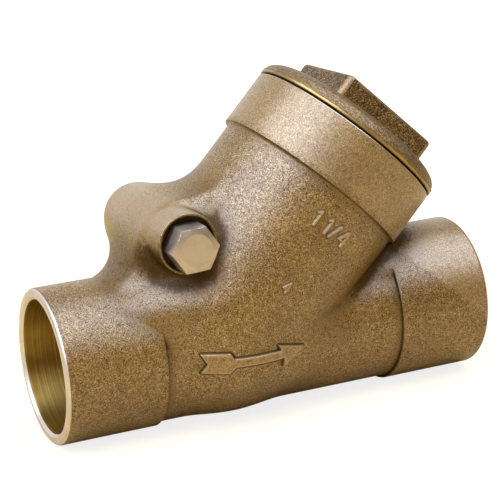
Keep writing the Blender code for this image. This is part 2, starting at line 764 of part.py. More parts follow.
def build():
    clear_scene()
    bronze = make_material("cast_bronze", (0.42, 0.26, 0.10), 1.0, 0.42)
    machined = make_material("machined_brass", (0.72, 0.58, 0.34), 1.0, 0.25)
    plastic = make_material("seat_plastic", (0.86, 0.85, 0.82), 0.0, 0.45)
    fibre = make_material("gasket_fibre", (0.06, 0.05, 0.04), 0.0, 0.8)

    neck_axis = make_empty("neck_axis", neck_foot, (0, pi / 2 - neck_angle, 0))
    hinge_axis = make_empty("hinge_axis", (-pin_offset, 0, pin_height), (0, 0, 0), neck_axis)
    disc_axis = make_empty("disc_axis", (pin_offset, 0, 0), (0, 0, 0), hinge_axis)
    bpy.context.view_layer.update()

    make_body(neck_axis, hinge_axis, bronze)
    make_cap(neck_axis, bronze)
    make_gasket(neck_axis, fibre)
    make_pin(machined)
    make_plug(machined)
    make_hanger(hinge_axis, bronze)
    make_disc(disc_axis, bronze, machined, plastic)
    bpy.context.view_layer.update()


build()
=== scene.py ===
"""Looks of a bronze swing check valve with solder ends, 1-1/4 size.

The pipe runs along X from the inlet at the origin, and the neck leans downstream.
Lengths are metres.  Surfaces are worked out as arrays of points, and finishes are procedural.
"""
from math import cos, pi, radians, sin, sqrt, tau

import bpy
import numpy as np
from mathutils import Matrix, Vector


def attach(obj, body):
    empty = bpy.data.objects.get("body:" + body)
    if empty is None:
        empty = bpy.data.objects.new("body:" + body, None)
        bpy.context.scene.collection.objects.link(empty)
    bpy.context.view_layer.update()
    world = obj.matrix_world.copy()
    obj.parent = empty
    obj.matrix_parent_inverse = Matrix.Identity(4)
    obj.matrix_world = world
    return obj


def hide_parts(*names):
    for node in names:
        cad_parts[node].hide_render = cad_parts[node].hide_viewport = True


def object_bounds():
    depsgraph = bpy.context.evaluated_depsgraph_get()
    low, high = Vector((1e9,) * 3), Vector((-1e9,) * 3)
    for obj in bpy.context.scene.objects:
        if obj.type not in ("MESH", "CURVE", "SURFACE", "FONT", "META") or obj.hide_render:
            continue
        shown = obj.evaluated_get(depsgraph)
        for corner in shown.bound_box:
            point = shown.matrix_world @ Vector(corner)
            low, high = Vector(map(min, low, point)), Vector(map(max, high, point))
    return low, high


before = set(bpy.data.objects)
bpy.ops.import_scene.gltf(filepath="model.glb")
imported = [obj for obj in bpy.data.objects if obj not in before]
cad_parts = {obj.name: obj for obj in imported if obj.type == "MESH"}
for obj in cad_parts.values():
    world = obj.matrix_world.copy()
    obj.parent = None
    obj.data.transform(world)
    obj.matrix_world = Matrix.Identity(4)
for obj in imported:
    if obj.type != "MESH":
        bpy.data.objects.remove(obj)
cad_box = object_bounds()

MM = 0.001

# Sizes that the solids share with the visual pieces
face_to_face = 120.2 * MM
socket_radius = 17.53 * MM
socket_depth = 24.6 * MM
cup_radius = 20.45 * MM
inlet_cup_length = 26.9 * MM
outlet_cup_length = 26.4 * MM
rim_round = 1.2 * MM
mouth_chamfer = 0.7 * MM
waterway_radius = 15.6 * MM
pipe_radius = 19.6 * MM

neck_angle = radians(46.0)
neck_radius = 26.35 * MM
bulb_height = 9.2 * MM
port_radius = 15.2 * MM
land_radius = 17.2 * MM
seat_height = 8.49 * MM
chamber_floor = 6.89 * MM
ledge_slope = 0.6 * MM
elbow_radius = 19.0 * MM
chamber_radius = 22.0 * MM
thread_radius = 23.2 * MM
thread_bottom = 52.637 * MM
thread_depth = 14.0 * MM
neck_top = thread_bottom + thread_depth
collar_radius = 27.55 * MM
collar_bottom = thread_bottom - 1.35 * MM
gasket_seat_radius = 26.2 * MM
gasket_seat_depth = 0.9 * MM
fit_gap = 0.3 * MM

pin_height = 17.09 * MM
pin_offset = 26.9 * MM
pin_bore = 2.7 * MM
pin_radius = 2.4 * MM
pocket_radius = 5.8 * MM
pocket_half_width = 7.2 * MM
open_angle = radians(50.0)
boss_half_length = 19.74 * MM
boss_lift = 0.45 * MM
boss_radius = 7.95 * MM
boss_rear_radius = 8.08 * MM
boss_rear_length = 20.6 * MM
boss_edge_round = 1.8 * MM
boss_skin_inset = 0.2 * MM
boss_setback = 1.2 * MM
recess_radius = boss_radius - 0.9 * MM
recess_floor = boss_half_length - 2.4 * MM
plug_bore = 5.2 * MM
plug_bore_end = 10.8 * MM
pin_blind_end = 12.2 * MM
plug_hex_radius = 6.4 * MM
plug_face = recess_floor + 7.9 * MM
plug_turn = radians(2.8)

flange_radius = collar_radius + 0.1 * MM
gasket_bottom = neck_top - gasket_seat_depth + fit_gap
gasket_top = gasket_bottom + 0.8 * MM
flange_bottom = gasket_top + fit_gap
flange_rim_height = 1.15 * MM
dome_width = 7.6 * MM
dome_height = 3.8 * MM
head_side = 30.4 * MM
head_top = flange_bottom + flange_rim_height + dome_height + 5.9 * MM
cap_crown = 8.2 * MM
head_corner_round = 1.5 * MM
head_top_round = 1.1 * MM
head_turn = radians(-3.1)

# Cast fillets
inlet_fillet = 13.7 * MM
root_fillet = 2.4 * MM
outlet_fillet = 12.0 * MM
boss_fillet = 14.5 * MM
boss_front_fillet = 3.0 * MM
pad_rise = 0.25 * MM
pad_length = 11.0 * MM
pad_fade = 7.0 * MM
pad_low = 0.55 * pipe_radius
pad_full = 0.8 * pipe_radius

# The neck's frame, with its origin on the pipe's axis
foot = np.array([42.0 * MM, 0.0, 0.0])
neck_up = np.array([cos(neck_angle), 0.0, sin(neck_angle)])
neck_side = np.array([-sin(neck_angle), 0.0, cos(neck_angle)])
hinge = foot + pin_height * neck_up + pin_offset * neck_side
boss = hinge + np.array([0.0, 0.0, boss_lift])

ALONG = np.array([1.0, 0.0, 0.0])
FRONT = np.array([0.0, -1.0, 0.0])


# Surfaces from formulas

def arc(centre, radius, start, end, steps):
    """Points centre + radius (cos a, sin a), a going evenly from start to end, as rows."""
    angle = np.linspace(start, end, steps + 1)
    return np.stack([centre[0] + radius * np.cos(angle), centre[1] + radius * np.sin(angle)], axis=1)


def line(*points):
    """Points as rows, for a straight stretch of a profile."""
    return np.array(points, dtype=float).reshape(-1, 2)


def frame_about(axis):
    """Two unit vectors that complete a right-handed frame with the axis as its third."""
    helper = np.array([0.0, 1.0, 0.0]) if abs(axis[1]) < 0.9 else np.array([0.0, 0.0, 1.0])
    first = np.cross(helper, axis)
    first = first / np.linalg.norm(first)
    return first, np.cross(axis, first)


def grid_quads(rows, columns, around):
    """Corners of the quads of a grid of points, closed round its columns where it goes around."""
    last = columns if around else columns - 1
    row, column = np.meshgrid(np.arange(rows - 1), np.arange(last), indexing="ij")
    beside = (column + 1) % columns
    quads = np.stack([row * columns + column, row * columns + beside,
                      (row + 1) * columns + beside, (row + 1) * columns + column], axis=-1)
    return quads.reshape(-1, 4)


def make_mesh(name, points, faces):
    """Object in the scene with a mesh of points and arrays of faces."""
    mesh = bpy.data.meshes.new(name)
    mesh.from_pydata(points.tolist(), [], [face for part in faces for face in np.asarray(part).tolist()])
    mesh.validate()
    piece = bpy.data.objects.new(name, mesh)
    bpy.context.scene.collection.objects.link(piece)
    return piece


def capped_tube(name, points):
    """Closed mesh of a grid of points that goes around, with one face on its first row and one on
    its last."""
    rows, around = points.shape[:2]
    first = np.arange(around)[::-1][None]
    last = (np.arange(around) + (rows - 1) * around)[None]
    return make_mesh(name, points.reshape(-1, 3), [grid_quads(rows, around, True), first, last])


def smooth_by_angle(piece, degrees):
    """Smooth shading, except where faces meet at more than the angle."""
    piece.data.shade_smooth()
    piece.data.set_sharp_from_angle(angle=radians(degrees))
    return piece


def turn(name, profile, origin, axis, sides=160):
    """Turned form: point (r, h) of the profile goes to origin + h axis + r (cos a first + sin a second)
    for every angle a.  A profile that starts and ends on the axis is closed with a fan at each end,
    and any other comes back to its first point as a ring."""
    profile = np.asarray(profile, dtype=float)
    capped = profile[0, 0] < 1e-9
    rings = profile[1:-1] if capped else np.vstack([profile, profile[:1]])
    angle = np.arange(sides) * tau / sides
    first, second = frame_about(axis)
    spoke = np.cos(angle)[:, None] * first + np.sin(angle)[:, None] * second
    points = (origin + rings[:, None, 1:] * axis + rings[:, None, :1] * spoke).reshape(-1, 3)
    rows = len(rings)
    quads = grid_quads(rows, sides, True)
    if not capped:
        points = points[:-sides]
        quads = np.where(quads >= len(points), quads - len(points), quads)
        return make_mesh(name, points, [quads])
    step = np.arange(sides)
    beside = (step + 1) % sides
    ends = origin + profile[[0, -1], 1:] * axis
    start = np.stack([np.full(sides, len(points)), beside, step], axis=1)
    base = (rows - 1) * sides
    stop = np.stack([np.full(sides, len(points) + 1), base + step, base + beside], axis=1)
    return make_mesh(name, np.vstack([points, ends]), [quads, start, stop])


# Cast skin of the body, as a distance

def smooth_step(value):
    """Eased rise from 0 to 1: t t (3 - 2 t), where t is the value clipped to 0 and 1."""
    value = np.clip(value, 0.0, 1.0)
    return value * value * (3 - 2 * value)


def ramp(value, start, end):
    """0 before the start, 1 past the end, and eased between them.  The end may be the lower one."""
    return smooth_step((value - start) / (end - start))


def soft_union(first, second, fillet):
    """Distance to two shapes joined by a fillet: the smaller one, less h h k / 4 where h is how far
    the two come within the fillet's width k of each other, as a share of k."""
    fillet = np.maximum(fillet, 1e-6)
    overlap = np.maximum(fillet - np.abs(first - second), 0) / fillet
    return np.minimum(first, second) - overlap * overlap * fillet / 4


def neck_distance(points):
    """Distance from the neck, a cylinder with a ball-shaped lower end."""
    from_foot = points - foot
    along = np.maximum(from_foot @ neck_up, bulb_height)
    return np.linalg.norm(from_foot - along[:, None] * neck_up, axis=1) - neck_radius


def pipe_distance(points):
    """Distance from the pipe, which swells on top just before the outlet cup and hides its step."""
    step = face_to_face - outlet_cup_length
    before = ramp(points[:, 0], step - pad_length, step)
    after = ramp(points[:, 0], step + pad_fade, step)
    top = ramp(points[:, 2], pad_low, pad_full)
    swell = (cup_radius - pipe_radius + pad_rise) * before * after * top
    return np.hypot(points[:, 1], points[:, 2]) - pipe_radius - swell


def boss_distance(points):
    """Distance from the hinge boss, a tapered cylinder along Y with slightly round ends."""
    back = np.clip(points[:, 1] / boss_half_length, -1, 1) / 2 + 0.5
    radius = boss_radius - boss_skin_inset + (boss_rear_radius - boss_radius + boss_skin_inset) * back
    out = np.hypot(points[:, 0] - boss[0], points[:, 2] - boss[2]) - (radius - boss_edge_round)
    front = points[:, 1] < 0
    reach = np.where(front, boss_half_length - boss_setback, boss_rear_length) - boss_edge_round
    beyond = np.abs(points[:, 1]) - reach
    corner = np.hypot(np.maximum(out, 0), np.maximum(beyond, 0))
    return corner + np.minimum(np.maximum(out, beyond), 0) - boss_edge_round


def neck_fillet(points):
    """Width of the fillet at the neck's foot: broad above the inlet, fine in the crease above
    the outlet and underneath, and soft on the flanks.  Heights are shares of the pipe's radius, and
    places upstream are shares of the neck's."""
    height = points[:, 2] / pipe_radius
    upstream = (points - foot) @ neck_side / neck_radius
    above_inlet = root_fillet + (inlet_fillet - root_fillet) * ramp(height, 0.2, 0.9)
    flank = ramp(height, 0.45, -0.15) * (1 - 0.9 * ramp(height, -0.3, -0.8))
    above_outlet = root_fillet + (outlet_fillet - root_fillet) * flank
    return above_inlet + (above_outlet - above_inlet) * ramp(upstream, 0.4, -0.4)


def skin_distance(points):
    """Distance from the cast skin without cups and collar.  The boss's fillet is fine at its front."""
    body = soft_union(neck_distance(points), pipe_distance(points), neck_fillet(points))
    towards_front = ramp(-points[:, 1] / boss_half_length, 0.4, 0.8)
    fillet = boss_fillet + (boss_front_fillet - boss_fillet) * towards_front
    return soft_union(body, boss_distance(points), fillet)


def trimmed_skin(points):
    """The cast skin, cut off square inside the cups and the collar."""
    inside_collar = 6 * MM
    inlet_cut = inlet_cup_length / 2 - points[:, 0]
    outlet_cut = points[:, 0] - (face_to_face - outlet_cup_length / 2)
    neck_cut = (points - foot) @ neck_up - (collar_bottom + inside_collar)
    return np.maximum.reduce([skin_distance(points), inlet_cut, outlet_cut, neck_cut])


def slope(distance, points):
    """Gradient of a distance by central differences."""
    reach = 0.02 * MM
    parts = [distance(points + axis) - distance(points - axis) for axis in np.eye(3) * reach]
    return np.stack(parts, axis=1) / (2 * reach)


def settle(distance, points, steps):
    """Newton steps along the slope, until the distance is zero."""
    for _ in range(steps):
        gradient = slope(distance, points)
        steepness = np.maximum((gradient ** 2).sum(axis=1), 0.1)
        points = points - (distance(points) / steepness)[:, None] * gradient
    return points


def net(distance, low, high, step):
    """Points and quads of a closed net round the places where a distance is negative.
    Each lattice cell that the surface crosses has one point, the mean of where the surface cuts the
    cell's edges, and each lattice edge that it cuts has the quad of the four cells round that edge."""
    axes = [np.arange(low[i], high[i] + step, step) for i in range(3)]
    lattice = np.stack(np.meshgrid(*axes, indexing="ij"), axis=-1)
    value = distance(lattice.reshape(-1, 3)).reshape(lattice.shape[:3])
    cells = tuple(size - 1 for size in value.shape)
    total = np.zeros(cells + (3,))
    count = np.zeros(cells)
    cuts = []
    for axis in range(3):
        near = tuple(slice(0, -1) if i == axis else slice(None) for i in range(3))
        far = tuple(slice(1, None) if i == axis else slice(None) for i in range(3))
        a, b = value[near], value[far]
        cut = (a < 0) != (b < 0)
        share = np.where(cut, a / np.where(cut, a - b, 1), 0)
        place = lattice[near] + share[..., None] * step * np.eye(3)[axis]
        for du in (0, 1):
            for dv in (0, 1):
                part = [slice(0, cells[axis])] * 3
                part[(axis + 1) % 3] = slice(du, du + cells[(axis + 1) % 3])
                part[(axis + 2) % 3] = slice(dv, dv + cells[(axis + 2) % 3])
                part = tuple(part)
                count += cut[part]
                total += np.where(cut[part][..., None], place[part], 0)
        cuts.append((np.argwhere(cut), a[cut] < 0))
    active = count > 0
    index = np.full(cells, -1)
    index[active] = np.arange(active.sum())
    points = total[active] / count[active][:, None]
    quads = []
    for axis, (where, outward) in enumerate(cuts):
        corners = []
        for du, dv in ((1, 1), (0, 1), (0, 0), (1, 0)):
            cell = where.copy()
            cell[:, (axis + 1) % 3] -= du
            cell[:, (axis + 2) % 3] -= dv
            corners.append(index[tuple(cell.T)])
        quad = np.stack(corners, axis=1)
        quads.append(np.where(outward[:, None], quad, quad[:, ::-1]))
    return points, np.vstack(quads)


def even_out(points, quads):
    """Each point goes most of the way to the mean of its neighbours."""
    total = np.zeros_like(points)
    count = np.zeros(len(points))
    for shift in (1, 3):
        np.add.at(total, quads.ravel(), points[np.roll(quads, -shift, axis=1).ravel()])
        np.add.at(count, quads.ravel(), 1)
    return points + 0.6 * (total / count[:, None] - points)


# Body

def cast_blank():
    """Neck, pipe and boss with their fillets, as a fine net settled on the skin and held inside the
    CAD's box at the bottom."""
    step = 0.75 * MM
    reach = 2 * MM
    above_cut = 66 * MM
    clearance = 0.01 * MM
    low = np.array([inlet_cup_length / 2 - reach, -neck_radius - reach, -neck_radius + reach])
    high = np.array([face_to_face - reach, neck_radius + reach, above_cut])
    points, quads = net(trimmed_skin, low, high, step)
    points = settle(trimmed_skin, points, 3)
    for _ in range(4):
        points = settle(trimmed_skin, even_out(points, quads), 2)
    points = settle(trimmed_skin, points, 5)
    points[:, 2] = np.maximum(points[:, 2], cad_box[0][2] + clearance)
    return make_mesh("cast_body", points, [quads])


def wall_rows(radius, low, high, rows):
    """Straight wall in rows, drawn in by a fiftieth of a millimetre at mid-length, so that no two rows
    lie in one plane and the Booleans keep them all."""
    waist = 0.02 * MM
    share = np.linspace(0, 1, rows)
    return np.stack([radius - 4 * waist * share * (1 - share), low + share * (high - low)], axis=1)


def solder_cup(name, end, axis, length):
    """Outside of a solder cup: end face, round rim, straight wall and a soft step at the back."""
    edge = 0.5 * MM
    rim = arc((cup_radius - rim_round, rim_round), rim_round, -pi / 2, 0, 10)
    step = arc((cup_radius - edge, length - edge), edge, 0, pi / 2, 5)
    wall = wall_rows(cup_radius, rim_round, length - edge, 18)[1:-1]
    return turn(name, np.vstack([line((0, 0)), rim, wall, step, line((0, length))]), end, axis, sides=192)


def socket_lines(outside):
    """Half section of a socket from outside its mouth to its tube stop."""
    mouth = socket_radius + mouth_chamfer
    return line((0, -outside), (mouth + outside, -outside), (socket_radius, mouth_chamfer),
                (socket_radius, socket_depth), (waterway_radius, socket_depth))


def body_tools():
    """The forms that are joined to the cast blank or cut from it, in their order."""
    outlet = face_to_face * ALONG
    run = foot[0]
    ball = arc((0, run), waterway_radius, 0, pi / 2, 16)
    ball[-1, 0] = 0
    far = 1 * MM
    hair = 0.05 * MM
    edge = 0.35 * MM
    cove = 1.35 * MM
    cove_foot = collar_bottom - cove
    collar = np.vstack([line((0, cove_foot)),
                        arc((collar_radius - hair, cove_foot), cove, pi, pi / 2, 10),
                        wall_rows(collar_radius, collar_bottom + hair, neck_top - far, 10),
                        arc((collar_radius - edge, neck_top - edge), edge, 0, pi / 2, 5),
                        line((0, neck_top))])
    lip = 0.45 * MM
    ring = np.vstack([line((0, boss_half_length / 2)),
                      wall_rows(boss_radius, boss_half_length / 2, boss_half_length - lip - 2 * hair, 14),
                      arc((boss_radius - lip, boss_half_length - lip), lip, 0, pi / 2, 4),
                      line((0, boss_half_length))])
    yield 'UNION', solder_cup("inlet_cup", 0 * ALONG, ALONG, inlet_cup_length)
    yield 'UNION', solder_cup("outlet_cup", outlet, -ALONG, outlet_cup_length)
    yield 'UNION', turn("collar", collar, foot, neck_up, sides=240)
    yield 'UNION', turn("boss_ring", ring, boss, FRONT, sides=128)

    depth = face_to_face - run
    way = np.vstack([socket_lines(far), line((waterway_radius, depth), (0, depth))])
    yield 'DIFFERENCE', turn("outlet_way", way, outlet, -ALONG, sides=192)
    top = thread_bottom + fit_gap
    chamber = line((0, chamber_floor), (chamber_radius, chamber_floor), (chamber_radius, top), (0, top))
    yield 'DIFFERENCE', turn("chamber", chamber, foot, neck_up)
    yield 'DIFFERENCE', hinge_pocket()
    wall = np.vstack([arc((0, 0), elbow_radius, -pi / 2, 0, 16),
                      line((elbow_radius, chamber_floor - ledge_slope),
                           (land_radius, chamber_floor + ledge_slope),
                           (land_radius, seat_height), (0, seat_height))])
    wall[0, 0] = 0
    yield 'UNION', turn("seat_wall", wall, foot, neck_up)
    way = np.vstack([socket_lines(far), ball])
    yield 'DIFFERENCE', turn("inlet_way", way, 0 * ALONG, ALONG, sides=192)
    port_top = seat_height + far
    port = line((0, 0), (port_radius, 0), (port_radius, port_top), (0, port_top))
    yield 'DIFFERENCE', turn("port", port, foot, neck_up)
    gasket_seat = neck_top - gasket_seat_depth
    above = neck_top + far
    bore = line((0, thread_bottom), (thread_radius, thread_bottom), (thread_radius, gasket_seat),
                (gasket_seat_radius, gasket_seat), (gasket_seat_radius, above), (0, above))
    yield 'DIFFERENCE', turn("thread_bore", bore, foot, neck_up)
    rim = 0.3 * MM
    recess = line((0, recess_floor), (recess_radius, recess_floor), (recess_radius, boss_half_length - rim),
                  (recess_radius + rim + far, boss_half_length + far), (0, boss_half_length + far))
    yield 'DIFFERENCE', turn("boss_recess", recess, boss, FRONT, sides=128)
    pin_way = line((0, -pin_blind_end), (pin_bore, -pin_blind_end), (pin_bore, plug_bore_end),
                   (plug_bore, plug_bore_end), (plug_bore, recess_floor + far), (0, recess_floor + far))
    yield 'DIFFERENCE', turn("pin_way", pin_way, hinge, FRONT, sides=96)


def hinge_pocket():
    """Room for the hanger's arm: an outline in the plane across the pin, carried along Y."""
    overlap = 3 * MM
    roof_step = 0.5 * MM
    wall = pin_offset - chamber_radius
    inner = wall + overlap
    roof_x = wall + roof_step
    back = arc((0, 0), pocket_radius, open_angle + pi / 2, 3 * pi / 2, 24)
    roof_z = back[0, 1] + (roof_x - back[0, 0]) * sin(open_angle) / cos(open_angle)
    outline = np.vstack([back, line((inner, -pocket_radius), (inner, roof_z), (roof_x, roof_z))])
    flat = hinge - outline[:, :1] * neck_side + outline[:, 1:] * neck_up
    sides = [flat + side * pocket_half_width * FRONT for side in (-1, 1)]
    return capped_tube("hinge_pocket", np.stack(sides))


def make_body(cast, rim, bored):
    """Cast blank with everything that is joined to it and cut from it, as one closed mesh."""
    blank = cast_blank()
    tools = []
    for operation, tool in body_tools():
        step = blank.modifiers.new(tool.name, 'BOOLEAN')
        step.operation = operation
        step.solver = 'MANIFOLD'
        step.object = tool
        tools.append(tool)
    seen = blank.evaluated_get(bpy.context.evaluated_depsgraph_get())
    mesh = bpy.data.meshes.new_from_object(seen)
    for spent in tools + [blank]:
        bpy.data.objects.remove(spent, do_unlink=True)
    body = bpy.data.objects.new("cast_body", mesh)
    bpy.context.scene.collection.objects.link(body)
    mesh.materials.clear()
    for material in (cast, rim, bored):
        mesh.materials.append(material)
    centres = np.empty(len(mesh.polygons) * 3)
    normals = np.empty(len(mesh.polygons) * 3)
    mesh.polygons.foreach_get("center", centres)
    mesh.polygons.foreach_get("normal", normals)
    mesh.polygons.foreach_set("material_index", finish_of(centres.reshape(-1, 3), normals.reshape(-1, 3)))
    paint_shade_and_wear(body)
    return smooth_by_angle(body, 32)


def drum_distance(points, origin, axis, radius, low, high):
    """Distance from a cylinder between two heights on an axis."""
    height = (points - origin) @ axis
    side = np.linalg.norm(points - origin - height[:, None] * axis, axis=1) - radius
    end = np.abs(height - (low + high) / 2) - (high - low) / 2
    return np.hypot(np.maximum(side, 0), np.maximum(end, 0)) + np.minimum(np.maximum(side, end), 0)


def outer_distance(points):
    """Distance from the whole outside of the body, its bores left unopened."""
    drums = (
        (0 * ALONG, ALONG, cup_radius, 0, inlet_cup_length),
        (0 * ALONG, ALONG, cup_radius, face_to_face - outlet_cup_length, face_to_face),
        (foot, neck_up, collar_radius, collar_bottom, neck_top),
        (boss, FRONT, boss_radius, 0, boss_half_length),
    )
    nearest = skin_distance(points)
    for drum in drums:
        nearest = np.minimum(nearest, drum_distance(points, *drum))
    return nearest


def from_boss(points):
    """Distance from the boss's axis."""
    return np.linalg.norm(np.cross(points - boss, FRONT), axis=1)


def paint(piece, name, values):
    """Put one value for each point into the mesh, for the materials to read."""
    attribute = piece.data.attributes.new(name, 'FLOAT', 'POINT')
    attribute.data.foreach_set("value", values.astype(np.float32))


def nearness(points, normals):
    """How much nearer than h the skin is to the point h out along the normal, as a share of h, summed
    over four lengths h, each with its weight."""
    feelers = ((0.9 * MM, 0.3), (2.5 * MM, 0.35), (6 * MM, 0.3), (12 * MM, 0.1))
    total = np.zeros(len(points))
    for reach, weight in feelers:
        total += weight * np.clip(1 - outer_distance(points + normals * reach) / reach, 0, 1)
    return total


def inward_bend(points):
    """0 on flat skin and 1 in a tight crease, from the inward curvature per length: less the sum of the
    skin distance's second differences along X, Y and Z."""
    reach = 1 * MM
    shallow, tight = 0.1 / MM, 0.35 / MM
    change = -6 * skin_distance(points)
    for offset in np.vstack([np.eye(3), -np.eye(3)]) * reach:
        change += skin_distance(points + offset)
    return ramp(-change / reach ** 2, shallow, tight)


def shadow_and_dirt_fan(points):
    """Painted shadow below the boss ring, partly soiling: full at the ring's edge, straight below it and at
    the front.
    """
    from_pin = from_boss(points)
    downwards = np.array([-0.4, 0.0, -0.92])
    below = (points - boss) @ downwards / np.maximum(from_pin, MM)
    near = ramp(from_pin, 15 * MM, 9 * MM) * ramp(from_pin, 7.5 * MM, 8.1 * MM)
    return near * ramp(below, 0.1, 0.8) * ramp(points[:, 1], -6 * MM, -11 * MM)


def wear_and_painted_sheen(points, normals):
    """Where the casting is lighter and smoother: a painted sheen, partly wear, on the crown of the boss and
    its inlet flank away from the front, the sides that face the light, and wear on the whole collar, somewhat
    less."""
    upwards = np.array([-0.3, 0.0, 0.95])
    towards_inlet = np.array([-0.8, 0.0, 0.6])
    # painted sheen: lighter where the boss faces up and towards the inlet
    crown = ramp(normals @ upwards, 0.45, 0.85)
    flank = ramp(normals @ towards_inlet, 0.1, 0.6) * ramp(points[:, 1], -15 * MM, -10 * MM)
    lump = ramp(from_boss(points), 10.5 * MM, 8 * MM) * np.maximum(crown, flank)
    up = (points - foot) @ neck_up
    return np.maximum(lump, 0.6 * ramp(up, collar_bottom, collar_bottom + 0.5 * MM))


def spread_along_edges(piece, values, rounds):
    """Each point's value becomes the mean of its own and its neighbours', in rounds."""
    count = len(values)
    edges = np.empty(len(piece.data.edges) * 2, dtype=np.int32)
    piece.data.edges.foreach_get("vertices", edges)
    one, other = edges.reshape(-1, 2).T
    share = np.bincount(edges, minlength=count) + 1
    for _ in range(rounds):
        total = values + np.bincount(one, values[other], count) + np.bincount(other, values[one], count)
        values = total / share
    return values


def paint_shade_and_wear(piece):
    """Paint shade, partly soiling, into the hollows and creases and below the boss ring, and paint wear, with
    a painted sheen on the boss's sides that face the light.
    """
    count = len(piece.data.vertices)
    points, normals = np.empty(count * 3), np.empty(count * 3)
    piece.data.vertices.foreach_get("co", points)
    piece.data.vertices.foreach_get("normal", normals)
    points, normals = points.reshape(-1, 3), normals.reshape(-1, 3)
    # painted shade where other surfaces are near and in creases, and a painted shadow below the boss ring;
    # partly soiling
    hollow_shade_and_dirt = nearness(points, normals) + 0.5 * inward_bend(points) + 0.8 * shadow_and_dirt_fan(points)
    paint(piece, "hollow_shade_and_dirt", spread_along_edges(piece, hollow_shade_and_dirt, 3))
    paint(piece, "lighter_smoother", wear_and_painted_sheen(points, normals))


def finish_of(centres, normals):
    """0 for the cast skin, 1 for the machined rims and 2 for what is bored, from where a face is."""
    cast, faced, bored = 0, 1, 2
    below_skin = 0.6 * MM
    round_facets = 0.02 * MM
    end_depth = 1.0 * MM
    edge_depth = 0.7 * MM
    slack = 0.1 * MM
    finish = np.full(len(centres), cast, dtype=np.int32)
    along = centres[:, 0]
    from_axis = np.hypot(centres[:, 1], centres[:, 2])
    up = (centres - foot) @ neck_up
    deep = (skin_distance(centres) < -below_skin) & (up < collar_bottom)
    in_cups = (along < inlet_cup_length) | (along > face_to_face - outlet_cup_length)
    finish[deep | (in_cups & (from_axis < socket_radius + round_facets))] = bored
    finish[(from_boss(centres) < boss_radius) & (centres[:, 1] < fit_gap - recess_floor)] = cast
    at_ends = (along < end_depth) | (along > face_to_face - end_depth)
    finish[(np.abs(normals[:, 0]) > 0.5) & at_ends] = faced
    from_neck = np.linalg.norm(np.cross(centres - foot, neck_up), axis=1)
    at_top = (up > neck_top - edge_depth) & (from_neck < collar_radius + slack)
    finish[at_top & (normals @ neck_up > 0.3)] = faced
    return finish


# Cap, plug and the pieces inside

def make_cap(cast, turned_edge):
    """Turned skirt, flange and dome, with the square head standing on it."""
    chamfer = 0.6 * MM
    relief = 0.5 * MM
    skirt_wall = 4.3 * MM
    bevel = 0.3 * MM
    edge = 0.25 * MM
    head_sink = 3 * MM
    skirt_radius = thread_radius - fit_gap
    skirt_bottom = thread_bottom + 2 * fit_gap
    hollow_radius = skirt_radius - skirt_wall
    hollow_top = head_top - cap_crown
    dome_base = flange_bottom + flange_rim_height
    dome_top = dome_base + dome_height
    angle = np.linspace(0, pi / 2, 33)
    dome = np.stack([flange_radius - dome_width + (dome_width - bevel) * np.cos(angle),
                     dome_base + bevel + (dome_height - bevel) * np.sin(angle)], axis=1)[2:]
    rim = np.vstack([arc((flange_radius - edge, flange_bottom + edge), edge, -pi / 2, 0, 4),
                     arc((flange_radius - bevel, dome_base), bevel, 0, pi / 3, 5)])
    profile = np.vstack([
        line((0, hollow_top), (hollow_radius - chamfer, hollow_top), (hollow_radius, hollow_top - chamfer),
             (hollow_radius, skirt_bottom), (skirt_radius - chamfer, skirt_bottom),
             (skirt_radius, skirt_bottom + chamfer), (skirt_radius, flange_bottom - 3 * relief),
             (skirt_radius - relief, flange_bottom - 2 * relief), (skirt_radius - relief, flange_bottom)),
        rim, dome, line((0, dome_top))])
    cap = turn("cap_flange", profile, foot, neck_up, sides=256)
    cap.data.materials.append(turned_edge)
    head = square_head("cap_head", dome_top - head_sink)
    head.data.materials.append(cast)
    for piece in (cap, head):
        smooth_by_angle(piece, 35)
        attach(piece, "valve_body")
        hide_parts("cap")


def rounded_square(half, corner, count):
    """Outline of a square with round corners: each quarter is an arc about its corner's centre,
    and the straight runs join the arcs."""
    inner = half - corner
    quarters = []
    for quarter in range(4):
        heading = quarter * pi / 2
        centre = inner * sqrt(2) * np.array([cos(heading + pi / 4), sin(heading + pi / 4)])
        quarters.append(arc(centre, corner, heading, heading + pi / 2, count))
    return np.vstack(quarters)


def square_head(name, base):
    """Square head: the rounded square of half side a, less the top edge's retreat, at each height of
    a straight side and a quarter-round top edge, turned a little about the neck's axis."""
    least_corner = 0.3 * MM
    worn_edge = 0.4 * MM
    retreat = arc((head_top_round, head_top - head_top_round), head_top_round, pi, pi / 2, 8)
    levels = np.vstack([line((0, base)), retreat])
    rings = []
    for inward, height in levels:
        flat = rounded_square(head_side / 2 - inward, max(head_corner_round - inward, least_corner), 8)
        rings.append(np.column_stack([flat, np.full(len(flat), height)]))
    rings = np.array(rings)
    across = rings[..., :1] * cos(head_turn) - rings[..., 1:2] * sin(head_turn)
    back = rings[..., :1] * sin(head_turn) + rings[..., 1:2] * cos(head_turn)
    points = foot - across * neck_side - back * FRONT + rings[..., 2:] * neck_up
    head = capped_tube(name, points)
    bend = np.minimum(1, levels[:, :1] / worn_edge)
    on_corner = np.abs(np.linspace(-1, 1, points.shape[1] // 4))[None, :] < 0.9
    lighter_smoother = np.maximum(np.tile(on_corner, (len(levels), 4)) * 1.0, bend)
    paint(head, "lighter_smoother", lighter_smoother.reshape(-1))
    return head


